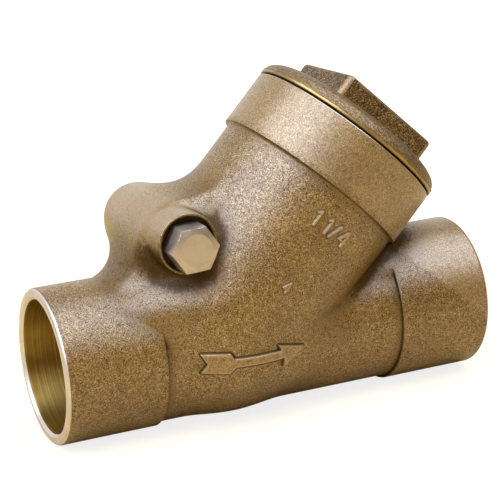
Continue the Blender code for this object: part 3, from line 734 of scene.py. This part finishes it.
def hexagon(name, corner_radius, low, high, chamfers, origin, axis, turned, bore=0.0):
    """Hexagonal bar: at height h and angle a the radius is the smaller of the hexagon's and that of the
    round chamfer cone, so each flat ends in a curved edge.  The chamfers say whether the low and the
    high end have a cone, and with a bore the bar is a ring."""
    first, second = frame_about(axis)
    sides = 96
    step = np.arange(sides)
    angle = step * tau / sides
    within = angle % (pi / 3) - pi / 6
    flats = corner_radius * cos(pi / 6) / np.cos(within)
    chamfer_depth = 0.34 * corner_radius
    chamfer_height = 0.28 * chamfer_depth
    share = np.linspace(0, 1, 9)
    rise = share * chamfer_height
    cone = corner_radius - chamfer_depth + share * chamfer_depth
    uncut = [2 * corner_radius]
    bottom, bottom_cone = (low + rise, cone) if chamfers[0] else ([low], uncut)
    top, top_cone = (high - rise[::-1], cone[::-1]) if chamfers[1] else ([high], uncut)
    heights = np.concatenate([bottom, top])
    radius = np.minimum(flats, np.concatenate([bottom_cone, top_cone])[:, None])
    spoke = np.cos(turned + angle)[:, None] * first + np.sin(turned + angle)[:, None] * second
    points = origin + heights[:, None, None] * axis + radius[..., None] * spoke
    if not bore:
        return capped_tube(name, points)
    inner = origin + np.array([high, low])[:, None, None] * axis + bore * spoke
    points = np.vstack([points, inner])
    rows = len(points)
    beside = (step + 1) % sides
    last = (rows - 1) * sides
    close = np.stack([last + step, last + beside, beside, step], axis=1)
    return make_mesh(name, points.reshape(-1, 3), [grid_quads(rows, sides, True), close])


def make_plug(material):
    """Hexagon head with its chamfered face, and the threaded shank behind it."""
    chamfer = 0.5 * MM
    shank_radius = 4.9 * MM
    head_low = recess_floor + fit_gap
    shank_low = plug_bore_end + 0.5 * MM
    shank_high = head_low + 0.5 * MM
    head = hexagon("plug_head", plug_hex_radius, head_low, plug_face, (False, True), hinge, FRONT, plug_turn)
    profile = line((0, shank_low), (shank_radius - chamfer, shank_low), (shank_radius, shank_low + chamfer),
                   (shank_radius, shank_high), (0, shank_high))
    shank = turn("plug_shank", profile, hinge, FRONT, sides=64)
    for piece in (head, shank):
        piece.data.materials.append(material)
        smooth_by_angle(piece, 9)
        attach(piece, "valve_body")
        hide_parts("hinge_pin_plug")


def flat_ring(name, inner, outer, low, high, soft):
    """Flat ring round the neck's axis, from a low to a high place, its outer edges rounded softly."""
    profile = np.vstack([line((inner, low), (outer - soft, low)),
                         arc((outer - soft, low + soft), soft, -pi / 2, 0, 4)[1:],
                         arc((outer - soft, high - soft), soft, 0, pi / 2, 4),
                         line((inner, high))])
    return turn(name, profile, foot, neck_up, sides=128)


def make_inside(bronze, brass, plastic, fibre):
    """Hanger, disc and their fasteners, seen through the cups, with the pin and the gasket."""
    soft = 0.25 * MM
    edge = 0.5 * MM
    stud_radius = 3.0 * MM
    stud_end = 1.1 * MM
    nut_wall = 2.25 * MM
    washer_edge = 1.6 * MM
    disc_edge = 0.4 * MM
    lip_wall = 0.8 * MM
    lip_height = 1.8 * MM
    disc_height = 2.8 * MM
    plate_height = 3.0 * MM
    arm_height = 3.8 * MM
    washer_height = 1.0 * MM
    lower_nut_height = 3.5 * MM
    upper_nut_height = 3.8 * MM

    hole = stud_radius + fit_gap
    nut_flat = hole + nut_wall
    nut_corner = nut_flat / cos(pi / 6)
    washer_radius = nut_flat + washer_edge
    disc_low = seat_height + fit_gap
    disc_high = disc_low + disc_height
    disc_radius = land_radius + disc_edge
    plate_low = disc_high + fit_gap
    plate_high = plate_low + plate_height
    lip_low = plate_low - lip_height
    lip_inner = disc_radius + fit_gap
    plate_radius = lip_inner + lip_wall
    arm_top = plate_high + fit_gap + arm_height
    lower_washer = disc_low - fit_gap - washer_height
    nut_high = lower_washer - fit_gap
    nut_low = nut_high - lower_nut_height
    upper_washer = arm_top + fit_gap
    top_nut = upper_washer + washer_height + fit_gap
    stud_low = nut_low - stud_end
    stud_high = top_nut + upper_nut_height + stud_end
    holder = np.vstack([
        line((0, stud_low), (stud_radius - edge, stud_low), (stud_radius, stud_low + edge),
             (stud_radius, plate_low), (lip_inner, plate_low), (lip_inner, lip_low),
             (plate_radius - soft, lip_low)),
        arc((plate_radius - soft, lip_low + soft), soft, -pi / 2, 0, 4)[1:],
        arc((plate_radius - edge, plate_high - edge), edge, 0, pi / 2, 6),
        line((stud_radius, plate_high), (stud_radius, stud_high - edge),
             (stud_radius - edge, stud_high), (0, stud_high))])

    pin_chamfer = 0.4 * MM
    pin_low = -pin_blind_end + fit_gap
    pin_high = 10.6 * MM
    pin = line((0, pin_low), (pin_radius - pin_chamfer, pin_low), (pin_radius, pin_low + pin_chamfer),
               (pin_radius, pin_high - pin_chamfer), (pin_radius - pin_chamfer, pin_high), (0, pin_high))
    gasket_inner = thread_radius + fit_gap
    gasket_outer = gasket_seat_radius - fit_gap

    pieces = (
        (turn("holder_plate", holder, foot, neck_up), "disc", "disc_holder", bronze),
        (flat_ring("soft_disc", hole, disc_radius, disc_low, disc_high, soft), "disc", "seat_disc", plastic),
        (flat_ring("lower_washer", hole, washer_radius, lower_washer, lower_washer + washer_height, soft),
         "disc", "seat_disc_washer", brass),
        (hexagon("lower_nut", nut_corner, nut_low, nut_high, (True, True), foot, neck_up, 0.0, hole),
         "disc", "seat_disc_nut", brass),
        (flat_ring("upper_washer", hole, washer_radius, upper_washer, upper_washer + washer_height, soft),
         "disc", "hanger_washer", brass),
        (hexagon("upper_nut", nut_corner, top_nut, top_nut + upper_nut_height, (True, True), foot, neck_up,
                 0.0, hole), "disc", "hanger_nut", brass),
        (turn("pin_rod", pin, hinge, FRONT, sides=48), "valve_body", "hinge_pin", brass),
        (flat_ring("flat_gasket", gasket_inner, gasket_outer, gasket_bottom, gasket_top, soft),
         "valve_body", "cap_gasket", fibre),
    )
    for piece, body, node_name, material in pieces:
        piece.data.materials.append(material)
        smooth_by_angle(piece, 12)
        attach(piece, body)
        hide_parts(node_name)
    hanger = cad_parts["disc_hanger"]
    hanger.data.materials.clear()
    hanger.data.materials.append(bronze)


# Raised marks

def to_segment(points, start, end):
    """Distance from flat points to the straight piece from start to end."""
    run = end - start
    share = np.clip(((points - start) @ run) / (run @ run), 0, 1)
    return np.linalg.norm(points - start - share[..., None] * run, axis=-1)


def strokes(points, path, half_width):
    """Distance to the nearest stroke of a path, less half its width: negative on the strokes."""
    nearest = np.full(points.shape[:-1], 1.0)
    for start, end in zip(path, path[1:]):
        nearest = np.minimum(nearest, to_segment(points, start, end))
    return nearest - half_width


def inside_outline(points, outline):
    """Signed distance to a closed outline: the nearest side's, negative where the winding sum of the
    signed angles round the point is a full turn."""
    nearest = np.full(points.shape[:-1], 1.0)
    winding = np.zeros(points.shape[:-1])
    for start, end in zip(outline, np.roll(outline, -1, axis=0)):
        nearest = np.minimum(nearest, to_segment(points, start, end))
        a, b = start - points, end - points
        winding += np.arctan2(a[..., 0] * b[..., 1] - a[..., 1] * b[..., 0], (a * b).sum(axis=-1))
    return np.where(np.abs(winding) > pi, -nearest, nearest)


def raised(name, shape, centre, across, width, height, relief, softness, material, step, shade_and_dirt):
    """Raised mark: a grid over width and height that lies on the cast skin, lifted by the relief where
    the flat shape is negative and sunk below the skin elsewhere, with a slope as wide as the softness.
    Its crest is lighter, wear with a painted highlight, and a painted shadow lies at its foot."""
    proud = 0.03 * MM
    sink = 0.25 * MM
    halo = 0.7 * MM
    skirt_width = 0.4 * MM
    crest_inset = 0.12 * MM
    crest_width = 0.3 * MM
    columns = int(width / step)
    rows = int(height / step)
    u = np.linspace(-width / 2, width / 2, columns)
    v = np.linspace(-height / 2, height / 2, rows)
    flat = np.stack(np.meshgrid(u, v, indexing="xy"), axis=-1)
    centre = settle(skin_distance, np.asarray(centre, dtype=float)[None], 20)[0]
    normal = slope(skin_distance, centre[None])[0]
    normal = normal / np.linalg.norm(normal)
    across = across - (across @ normal) * normal
    across = across / np.linalg.norm(across)
    upward = np.cross(normal, across)
    points = (centre + flat[..., :1] * across + flat[..., 1:] * upward).reshape(-1, 3)
    for _ in range(8):
        points = points - skin_distance(points)[:, None] * normal
    away = slope(skin_distance, points)
    away = away / np.linalg.norm(away, axis=1)[:, None]
    depth = shape(flat).reshape(-1)
    bank = ramp(depth, softness / 2, -softness / 2)
    skirt = ramp(depth, halo, halo + skirt_width)
    lifted = points + away * (bank * relief + proud - skirt * sink)[:, None]
    under = points - away * (2 * sink)

    quads = grid_quads(rows, columns, False)
    count = len(points)
    index = np.arange(count).reshape(rows, columns)
    border = np.concatenate([index[0, :-1], index[:-1, -1], index[-1, :0:-1], index[:0:-1, 0]])
    ahead = np.roll(border, -1)
    wall = np.stack([border + count, ahead + count, ahead, border], axis=1)
    piece = make_mesh(name, np.vstack([lifted, under]), [quads, quads[:, ::-1] + count, wall])
    crest = np.clip(1 - np.abs(depth + softness / 2 + crest_inset) / crest_width, 0, 1)
    # painted shadow at the foot of the mark
    foot_shadow = ramp(bank, 0.7, 0.3) * ramp(depth, halo, halo / 4)
    # lighter crest and face: wear with a painted highlight
    paint(piece, "lighter_smoother", np.concatenate([np.maximum(crest, bank * 0.25), np.zeros(count)]))
    paint(piece, "hollow_shade_and_dirt", np.concatenate([foot_shadow * shade_and_dirt, np.zeros(count)]))
    piece.data.materials.append(material)
    smooth_by_angle(piece, 60)
    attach(piece, "valve_body")


def neck_point(height, ring_angle):
    """Point at a height up the neck and an angle round it, from the front towards the upstream side."""
    return (foot + height * neck_up + neck_radius * cos(ring_angle) * FRONT
            + neck_radius * sin(ring_angle) * neck_side)


def raise_sign(name, path, tall, half_width, centre, box, relief, shade_and_dirt, material):
    """Sign of straight strokes on the neck, read from the front.  Its path is in shares of half its
    height."""
    path = np.array(path) * tall
    width, height = box
    raised(name, lambda flat: strokes(flat, path, half_width), centre, -neck_side, width, height, relief,
           softness=0.35 * MM, material=material, step=0.1 * MM, shade_and_dirt=shade_and_dirt)


def make_marks(material):
    """Flow arrow, the size 1 1/4 and a small pattern number, all raised in the casting."""
    length = 27.5 * MM
    arrow_round = 0.15 * MM
    arrow = length * np.array([
        (-0.50, 0.10), (-0.44, 0.0), (-0.50, -0.085), (-0.25, -0.10), (-0.20, -0.045), (0.28, -0.040),
        (0.275, -0.115), (0.50, 0.015), (0.23, 0.085), (0.255, 0.030), (-0.21, 0.035), (-0.25, 0.095)])
    raised("flow_arrow", lambda flat: inside_outline(flat, arrow) - arrow_round,
           (48.5 * MM, -24.8 * MM, 0.4 * MM), ALONG, length * 1.15, length * 0.4, relief=0.8 * MM,
           softness=0.5 * MM, material=material, step=0.12 * MM, shade_and_dirt=0.9)

    one = [(-0.35, 0.65), (0.0, 1.0), (0.0, -1.0)]
    slash = [(-0.45, -1.0), (0.45, 1.0)]
    four = [(0.25, -1.0), (0.25, 1.0), (-0.6, -0.35), (0.6, -0.35)]
    # Each sign's angle round the neck in degrees, and its path
    size_signs = ((11.7, one), (3.8, one), (-1.1, slash), (-8.3, four))
    for number, (ring_angle, path) in enumerate(size_signs):
        centre = neck_point(42.3 * MM, radians(ring_angle))
        raise_sign(f"size_mark_{number + 1}", path, 2.0 * MM, 0.37 * MM, centre, (4.8 * MM, 6.0 * MM),
                   0.6 * MM, 0.35, material)
    raise_sign("pattern_mark", four, 1.4 * MM, 0.3 * MM, neck_point(23.7 * MM, radians(2.2)),
               (3.8 * MM, 4.8 * MM), 0.4 * MM, 0.4, material)


# Finishes

def node(tree, kind, inputs=None, **settings):
    """A node with its settings, each input given as a value or as a socket to link from."""
    made = tree.nodes.new(kind)
    for name, value in settings.items():
        setattr(made, name, value)
    for name, value in (inputs or {}).items():
        if isinstance(value, bpy.types.NodeSocket):
            tree.links.new(value, made.inputs[name])
        else:
            made.inputs[name].default_value = value
    return made


def send(tree, value, socket):
    """Link a value to an input."""
    tree.links.new(value, socket)


def maths(tree, operation, first, second=0.0):
    """Result of one Math node."""
    return node(tree, 'ShaderNodeMath', {0: first, 1: second}, operation=operation).outputs[0]


def blend_colours(tree, share, first, second):
    """The first colour at share 0, the second at 1, and a mix between."""
    return node(tree, 'ShaderNodeMix', {0: share, 6: first, 7: second}, data_type='RGBA').outputs[2]


def remap(tree, value, low, high, bottom=0.0, top=1.0):
    """The value taken from the range low to high onto bottom to top, smoothly and clamped."""
    made = node(tree, 'ShaderNodeMapRange', {0: value, 1: low, 2: high, 3: bottom, 4: top},
                interpolation_type='SMOOTHSTEP')
    return made.outputs[0]


def noise(tree, place, scale, detail=2.0, roughness=0.5):
    """Cloudy values around a half, with the scale in clouds per metre."""
    inputs = {"Vector": place, "Scale": scale, "Detail": detail, "Roughness": roughness}
    return node(tree, 'ShaderNodeTexNoise', inputs).outputs["Fac"]


def bump(tree, height, depth, strength=1.0):
    """Normal of a surface that is raised by the height times the depth."""
    inputs = {"Strength": strength, "Distance": depth, "Height": height}
    return node(tree, 'ShaderNodeBump', inputs).outputs["Normal"]


def grain_noise(tree, place, grains):
    """Fine grains, so many per metre, the clumps that they lie in, and the height that both give."""
    fine = noise(tree, place, grains, roughness=0.7)
    clumps = noise(tree, place, maths(tree, 'MULTIPLY', grains, 0.3), roughness=0.6)
    return fine, clumps, maths(tree, 'ADD', fine, maths(tree, 'MULTIPLY', clumps, 0.6))


def new_group(name, numbers, results):
    """Shader node group that takes a place and named numbers with their defaults, and puts out named
    numbers."""
    tree = bpy.data.node_groups.new(name, 'ShaderNodeTree')
    tree.interface.new_socket(name="Place", in_out='INPUT', socket_type='NodeSocketVector')
    for label, default in numbers.items():
        socket = tree.interface.new_socket(name=label, in_out='INPUT', socket_type='NodeSocketFloat')
        socket.default_value = default
    for label in results:
        tree.interface.new_socket(name=label, in_out='OUTPUT', socket_type='NodeSocketFloat')
    return tree, tree.nodes.new('NodeGroupInput').outputs, tree.nodes.new('NodeGroupOutput').inputs


def sand_grain_group():
    """Skin of a sand casting: fine grains, dark pits between them and small bright points."""
    tree, given, result = new_group("sand_grain", {"Grains per metre": 1500.0, "Pits": 0.5, "Glints": 0.5},
                                    ("Height", "Dark", "Bright"))
    fine, clumps, height = grain_noise(tree, given["Place"], given["Grains per metre"])
    both = maths(tree, 'ADD', maths(tree, 'MULTIPLY', fine, 0.8), maths(tree, 'MULTIPLY', clumps, 0.2))
    send(tree, height, result["Height"])
    send(tree, maths(tree, 'MULTIPLY', remap(tree, both, 0.55, 0.36), given["Pits"]), result["Dark"])
    send(tree, maths(tree, 'MULTIPLY', remap(tree, both, 0.53, 0.66), given["Glints"]), result["Bright"])
    return tree


def mottle_group():
    """Slow change of tone over a surface, from two sizes of cloud."""
    tree, given, result = new_group("mottle", {"Patches per metre": 60.0}, ("Mask",))
    patches = given["Patches per metre"]
    broad = noise(tree, given["Place"], patches)
    close = noise(tree, given["Place"], maths(tree, 'MULTIPLY', patches, 5.0), roughness=0.6)
    both = maths(tree, 'ADD', maths(tree, 'MULTIPLY', broad, 0.6), maths(tree, 'MULTIPLY', close, 0.4))
    send(tree, remap(tree, both, 0.38, 0.62), result["Mask"])
    return tree


def tool_marks_group():
    """Fine grooves left by turning: noise across a coordinate, broken up by noise along it."""
    tree, given, result = new_group("tool_marks", {"Across": 0.0, "Grooves per metre": 4000.0},
                                    ("Height", "Bright"))
    phase = maths(tree, 'MULTIPLY', given["Across"], given["Grooves per metre"])
    grooves = node(tree, 'ShaderNodeTexNoise', {"W": phase, "Scale": 1.0, "Detail": 3.0},
                   noise_dimensions='1D').outputs["Fac"]
    wear = noise(tree, given["Place"], 300.0)
    send(tree, maths(tree, 'MULTIPLY', grooves, wear), result["Height"])
    send(tree, remap(tree, grooves, 0.45, 0.65), result["Bright"])
    return tree


def new_material(name):
    """Material with its node tree, its shader and the place on the object."""
    material = bpy.data.materials.new(name)
    material.use_nodes = True
    tree = material.node_tree
    place = node(tree, 'ShaderNodeTexCoord').outputs["Object"]
    return material, tree, tree.nodes["Principled BSDF"], place


def use(tree, group, **inputs):
    """Outputs of a group placed in a material with its own values.  A _ in a name stands for a space."""
    made = tree.nodes.new('ShaderNodeGroup')
    made.node_tree = group
    for name, value in inputs.items():
        socket = made.inputs[name.replace("_", " ")]
        if isinstance(value, bpy.types.NodeSocket):
            tree.links.new(value, socket)
        else:
            socket.default_value = value
    return made.outputs


def cast_metal(name, groups, light, mid, dark, roughness, grains=3500.0, grit=1.0, sheen_and_polish=0.6, film=1.0):
    """Sand-cast bronze: mottled base colour with dark pits and bright points over a rough grain, smoother
    and lighter with wear and painted sheen, and brown-black in its hollows, painted shade that is partly
    soiling.
    A clear film with a weaker bump of its own lies on the metal, but not in pits and the painted shade."""
    sheen_and_wear_colour = (0.35, 0.235, 0.12, 1.0)
    glint_colour = (0.70, 0.53, 0.29, 1.0)
    shade_and_dirt_colour = (0.048, 0.021, 0.002, 1.0)
    material, tree, shader, place = new_material(name)
    lighter_smoother = node(tree, 'ShaderNodeAttribute', attribute_name="lighter_smoother").outputs["Fac"]
    hollow_shade_and_dirt = node(tree, 'ShaderNodeAttribute', attribute_name="hollow_shade_and_dirt").outputs["Fac"]
    rest = maths(tree, 'SUBTRACT', 1.0, maths(tree, 'MULTIPLY', lighter_smoother, 0.65))
    grain = use(tree, groups["grain"], Place=place, Grains_per_metre=grains,
                Pits=maths(tree, 'MULTIPLY', rest, 0.85 * grit),
                Glints=maths(tree, 'MULTIPLY', rest, 0.45 * grit))
    patches = use(tree, groups["mottle"], Place=place, Patches_per_metre=60.0)
    colour = blend_colours(tree, patches["Mask"], mid, light)
    # lighter with wear, and with painted sheen and highlights on sides that face the light and on crests
    colour = blend_colours(tree, maths(tree, 'MULTIPLY', lighter_smoother, sheen_and_polish), colour, sheen_and_wear_colour)
    colour = blend_colours(tree, grain["Dark"], colour, dark)
    colour = blend_colours(tree, grain["Bright"], colour, glint_colour)

    # painted shade: darkening towards brown-black in hollows and creases, partly soiling
    crests = maths(tree, 'MULTIPLY', maths(tree, 'SUBTRACT', grain["Height"], 0.8), 1.7)
    ragged = maths(tree, 'MULTIPLY', maths(tree, 'ADD', hollow_shade_and_dirt, crests), remap(tree, hollow_shade_and_dirt, 0.0, 0.1))
    shade_and_dirt = remap(tree, ragged, 0.15, 0.65, 0.0, 0.9)
    send(tree, blend_colours(tree, shade_and_dirt, colour, shade_and_dirt_colour), shader.inputs["Base Color"])
    rough = maths(tree, 'ADD', maths(tree, 'MULTIPLY', grain["Dark"], 0.2), roughness)
    rough = maths(tree, 'SUBTRACT', rough, maths(tree, 'MULTIPLY', grain["Bright"], 0.55))
    send(tree, rough, shader.inputs["Roughness"])
    shader.inputs["Metallic"].default_value = 1.0
    height = maths(tree, 'MULTIPLY', grain["Height"], rest)
    send(tree, bump(tree, height, 0.2 * MM), shader.inputs["Normal"])

    bare = maths(tree, 'MAXIMUM', shade_and_dirt, maths(tree, 'MULTIPLY', grain["Dark"], 0.9))
    covered = maths(tree, 'MULTIPLY', maths(tree, 'SUBTRACT', 1.0, bare), film)
    send(tree, covered, shader.inputs["Coat Weight"])
    shader.inputs["Coat Roughness"].default_value = 0.32
    shader.inputs["Coat IOR"].default_value = 1.8
    _, _, film_grain = grain_noise(tree, place, grains)
    film_height = maths(tree, 'MULTIPLY', film_grain, rest)
    send(tree, bump(tree, film_height, 0.075 * MM), shader.inputs["Coat Normal"])
    return material


def along_axis(tree, place, axis, origin):
    """Distance of a place from an axis and its height along the axis, as two sockets."""
    offset = node(tree, 'ShaderNodeVectorMath', {0: place, 1: tuple(origin)}, operation='SUBTRACT').outputs[0]
    height = node(tree, 'ShaderNodeVectorMath', {0: offset, 1: tuple(axis)}, operation='DOT_PRODUCT')
    cross = node(tree, 'ShaderNodeVectorMath', {0: offset, 1: tuple(axis)}, operation='CROSS_PRODUCT')
    radius = node(tree, 'ShaderNodeVectorMath', {0: cross.outputs[0]}, operation='LENGTH')
    return radius.outputs["Value"], height.outputs["Value"]


def cap_metal(name, groups, dark):
    """Cap flange: a turned yellow rim below a dull cast dome, with a wavy line where they meet."""
    rim_colour, rim_bright = (0.24, 0.148, 0.04, 1.0), (0.36, 0.24, 0.085, 1.0)
    dome_colour, dome_bright = (0.19, 0.118, 0.053, 1.0), (0.6, 0.44, 0.26, 1.0)
    dome_start = flange_bottom + flange_rim_height + 0.15 * MM
    material, tree, shader, place = new_material(name)
    radius, height = along_axis(tree, place, neck_up, foot)
    wave = maths(tree, 'MULTIPLY', noise(tree, place, 260.0, detail=3.0), 1.4 * MM)
    above = remap(tree, maths(tree, 'ADD', height, wave), dome_start, dome_start + 0.35 * MM)
    inside = remap(tree, radius, flange_radius - 2.5 * MM, flange_radius - 1.5 * MM, 1.0, 0.0)
    domed = maths(tree, 'MAXIMUM', above, inside)
    grain = use(tree, groups["grain"], Place=place, Grains_per_metre=2600.0, Pits=0.7, Glints=0.5)
    marks = use(tree, groups["marks"], Across=height, Place=place, Grooves_per_metre=4000.0)
    rim = blend_colours(tree, marks["Bright"], rim_colour, rim_bright)
    dome = blend_colours(tree, grain["Dark"], dome_colour, dark)
    dome = blend_colours(tree, grain["Bright"], dome, dome_bright)
    send(tree, blend_colours(tree, domed, rim, dome), shader.inputs["Base Color"])
    send(tree, remap(tree, domed, 0.0, 1.0, 0.38, 0.6), shader.inputs["Roughness"])
    shader.inputs["Metallic"].default_value = 1.0
    shader.inputs["Coat Weight"].default_value = 0.4
    shader.inputs["Coat Roughness"].default_value = 0.4
    dome_grain = maths(tree, 'MULTIPLY', grain["Height"], domed)
    send(tree, bump(tree, dome_grain, 0.2 * MM), shader.inputs["Normal"])
    return material


def machined_metal(name, groups, bright, mid, roughness, axis, origin, across="radius", strength=0.25,
                   grooves=5000.0, stretch=0.0):
    """Turned or faced bronze: brighter, with fine grooves round an axis that stretch its highlights."""
    material, tree, shader, place = new_material(name)
    radius, height = along_axis(tree, place, axis, origin)
    measure = radius if across == "radius" else height
    marks = use(tree, groups["marks"], Across=measure, Place=place, Grooves_per_metre=grooves)
    patches = use(tree, groups["mottle"], Place=place, Patches_per_metre=90.0)
    lighter_smoother = maths(tree, 'MULTIPLY', patches["Mask"], 1 - stretch)
    polished = maths(tree, 'MULTIPLY', marks["Bright"], 0.35 + 0.4 * stretch)
    colour = blend_colours(tree, polished, blend_colours(tree, lighter_smoother, mid, bright), bright)
    send(tree, colour, shader.inputs["Base Color"])
    rough = remap(tree, lighter_smoother, 0.0, 1.0, roughness + 0.08, roughness - 0.04)
    send(tree, rough, shader.inputs["Roughness"])
    shader.inputs["Metallic"].default_value = 1.0
    if stretch:
        shader.inputs["Anisotropic"].default_value = stretch
        shader.inputs["Anisotropic Rotation"].default_value = 0.25
        turning = node(tree, 'ShaderNodeTangent', direction_type='RADIAL', axis='X')
        send(tree, turning.outputs["Tangent"], shader.inputs["Tangent"])
    send(tree, bump(tree, marks["Height"], 0.04 * MM, strength), shader.inputs["Normal"])
    return material


def plain_material(name, groups, light, mid, roughness, grains, depth):
    """Non-metal: a mottled colour with a slight grain."""
    material, tree, shader, place = new_material(name)
    patches = use(tree, groups["mottle"], Place=place, Patches_per_metre=120.0)
    grain = use(tree, groups["grain"], Place=place, Grains_per_metre=grains, Pits=0.3, Glints=0.0)
    colour = blend_colours(tree, patches["Mask"], mid, light)
    send(tree, blend_colours(tree, grain["Dark"], colour, mid), shader.inputs["Base Color"])
    shader.inputs["Roughness"].default_value = roughness
    send(tree, bump(tree, grain["Height"], depth, strength=0.4), shader.inputs["Normal"])
    return material


# Studio

white = (1.0, 1.0, 1.0, 1.0)
middle = (60 * MM, 0.0, 25 * MM)


def make_floor():
    """Pale floor that is white to the camera except where the object's shadow falls: the camera sees
    more of the glow the farther a place is from the object."""
    half_side = 3.0
    low = cad_box[0][2] - 0.1 * MM
    glow_strength = 1.36
    corners = np.array([(-half_side, -half_side, low), (half_side, -half_side, low),
                        (half_side, half_side, low), (-half_side, half_side, low)])
    floor = make_mesh("floor", corners, [np.array([[0, 1, 2, 3]])])
    material, tree, shader, place = new_material("pale_floor")
    shader.inputs["Base Color"].default_value = (0.60, 0.46, 0.23, 1.0)
    shader.inputs["Roughness"].default_value = 0.9
    path = node(tree, 'ShaderNodeLightPath').outputs
    glow = node(tree, 'ShaderNodeEmission', {"Color": white, "Strength": glow_strength})
    under = (middle[0], middle[1], low)
    away = node(tree, 'ShaderNodeVectorMath', {0: place, 1: under}, operation='DISTANCE').outputs["Value"]
    spread = remap(tree, away, 100 * MM, 400 * MM, 0.6, 1.0)
    share = maths(tree, 'MULTIPLY', path["Is Camera Ray"], spread)
    mix = node(tree, 'ShaderNodeMixShader', {0: share, 1: shader.outputs[0], 2: glow.outputs[0]})
    send(tree, mix.outputs[0], tree.nodes["Material Output"].inputs["Surface"])
    floor.data.materials.append(material)


def axes_from_back(back):
    """Right and upward vectors of a level thing whose back points along a unit vector."""
    right = np.cross((0, 0, 1.0), back)
    right = right / np.linalg.norm(right)
    return right, np.cross(back, right)


def place_by_axes(thing, right, upward, back, position):
    """Put a camera or a lamp at a position, turned by its three axes."""
    matrix = np.eye(4)
    matrix[:3] = np.column_stack([right, upward, back, position])
    thing.matrix_world = matrix.T.tolist()
    bpy.context.view_layer.update()


def area_light(name, position, size, power, colour):
    """Rectangular lamp that faces the middle of the object."""
    lamp = bpy.data.lights.new(name, 'AREA')
    lamp.shape = 'RECTANGLE'
    lamp.size, lamp.size_y = size
    lamp.energy = power
    lamp.color = colour
    light = bpy.data.objects.new(name, lamp)
    bpy.context.scene.collection.objects.link(light)
    back = np.asarray(position) - np.asarray(middle)
    back = back / np.linalg.norm(back)
    place_by_axes(light, *axes_from_back(back), back, position)


def make_camera():
    """Camera at the photograph's angle, aimed at the target and rolled a little."""
    azimuth, elevation, roll = radians(-23.32), radians(15.55), radians(-3.38)
    distance = 487.75 * MM
    target = np.array([59.51 * MM, 0.0, 21.25 * MM])
    back = np.array([sin(azimuth) * cos(elevation), -cos(azimuth) * cos(elevation), sin(elevation)])
    level, plumb = axes_from_back(back)
    right = cos(roll) * level + sin(roll) * plumb
    upward = cos(roll) * plumb - sin(roll) * level
    camera = bpy.data.objects.new("camera", bpy.data.cameras.new("camera"))
    camera.data.lens = 132.8
    camera.data.sensor_width = 36.0
    camera.data.clip_start = 10 * MM
    bpy.context.scene.collection.objects.link(camera)
    place_by_axes(camera, right, upward, back, target + distance * back)
    bpy.context.scene.camera = camera


def make_world(level):
    """White to the camera, and an even sky of the given level for every other ray."""
    world = bpy.data.worlds.new("studio")
    bpy.context.scene.world = world
    world.use_nodes = True
    tree = world.node_tree
    background = tree.nodes["Background"].inputs
    path = node(tree, 'ShaderNodeLightPath').outputs
    background["Color"].default_value = white
    send(tree, remap(tree, path["Is Camera Ray"], 0.0, 1.0, level, 1.0), background["Strength"])


def make_lights():
    """Cool light from above for the whitish upper sides, and a warm glow from the front and right."""
    cool, warm, pale = (0.88, 0.98, 1.12), (1.14, 0.81, 0.30), (1.0, 0.98, 0.94)
    area_light("key", (-0.66, -0.18, 0.74), (1.15, 1.0), 20.0, cool)
    area_light("top", (0.42, -0.22, 1.0), (1.2, 1.2), 20.0, cool)
    area_light("high", (-0.3, -0.85, 0.75), (1.3, 0.5), 3.6, cool)
    area_light("front", (-0.1, -1.1, 0.35), (1.8, 0.5), 0.9, warm)
    area_light("right", (0.95, -0.3, 0.6), (0.6, 0.6), 1.0, warm)
    area_light("back", (0.0, 0.9, 0.4), (1.8, 0.9), 6.2, pale)


def build():
    """Finishes, the pieces that wear them, and the studio round them."""
    groups = {"grain": sand_grain_group(), "mottle": mottle_group(), "marks": tool_marks_group()}
    light, mid, dark = (0.245, 0.123, 0.011, 1.0), (0.185, 0.086, 0.003, 1.0), (0.045, 0.020, 0.002, 1.0)
    cast = cast_metal("cast_bronze", groups, light, mid, dark, 0.64)
    marks = cast_metal("cast_marks", groups, light, mid, dark, 0.5, grit=0.8, sheen_and_polish=1.0)
    inner = cast_metal("inner_bronze", groups, light, mid, dark, 0.38, grains=2200.0)
    cap_edge = cap_metal("cap_flange_bronze", groups, dark)

    light, mid, dark = (0.16, 0.082, 0.022, 1.0), (0.085, 0.042, 0.010, 1.0), (0.04, 0.018, 0.005, 1.0)
    cap_cast = cast_metal("cap_cast_bronze", groups, light, mid, dark, 0.6, grains=2900.0, grit=1.2,
                          film=0.35)

    bright, mid = (0.60, 0.53, 0.50, 1.0), (0.52, 0.45, 0.41, 1.0)
    rim = machined_metal("faced_rim", groups, bright, mid, 0.4, ALONG, 0 * ALONG, strength=0.12)
    bright, mid = (0.76, 0.55, 0.21, 1.0), (0.44, 0.29, 0.065, 1.0)
    bored = machined_metal("bored_bronze", groups, bright, mid, 0.25, ALONG, 0 * ALONG, across="height",
                           strength=0.8, grooves=1500.0, stretch=0.75)
    bright, mid = (0.45, 0.38, 0.33, 1.0), (0.39, 0.32, 0.26, 1.0)
    brass = machined_metal("machined_brass", groups, bright, mid, 0.42, FRONT, hinge)

    light, mid = (0.88, 0.87, 0.84, 1.0), (0.78, 0.77, 0.73, 1.0)
    plastic = plain_material("seat_plastic", groups, light, mid, 0.4, grains=900.0, depth=0.02 * MM)
    light, mid = (0.10, 0.07, 0.04, 1.0), (0.05, 0.035, 0.02, 1.0)
    fibre = plain_material("gasket_fibre", groups, light, mid, 0.8, grains=1600.0, depth=0.06 * MM)

    body = make_body(cast, rim, bored)
    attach(body, "valve_body")
    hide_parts("valve_body")
    make_marks(marks)
    make_cap(cap_cast, cap_edge)
    make_plug(brass)
    make_inside(inner, brass, plastic, fibre)

    make_floor()
    make_camera()
    make_world(level=0.03)
    make_lights()
    bpy.context.scene.view_settings.view_transform = 'Standard'


build()
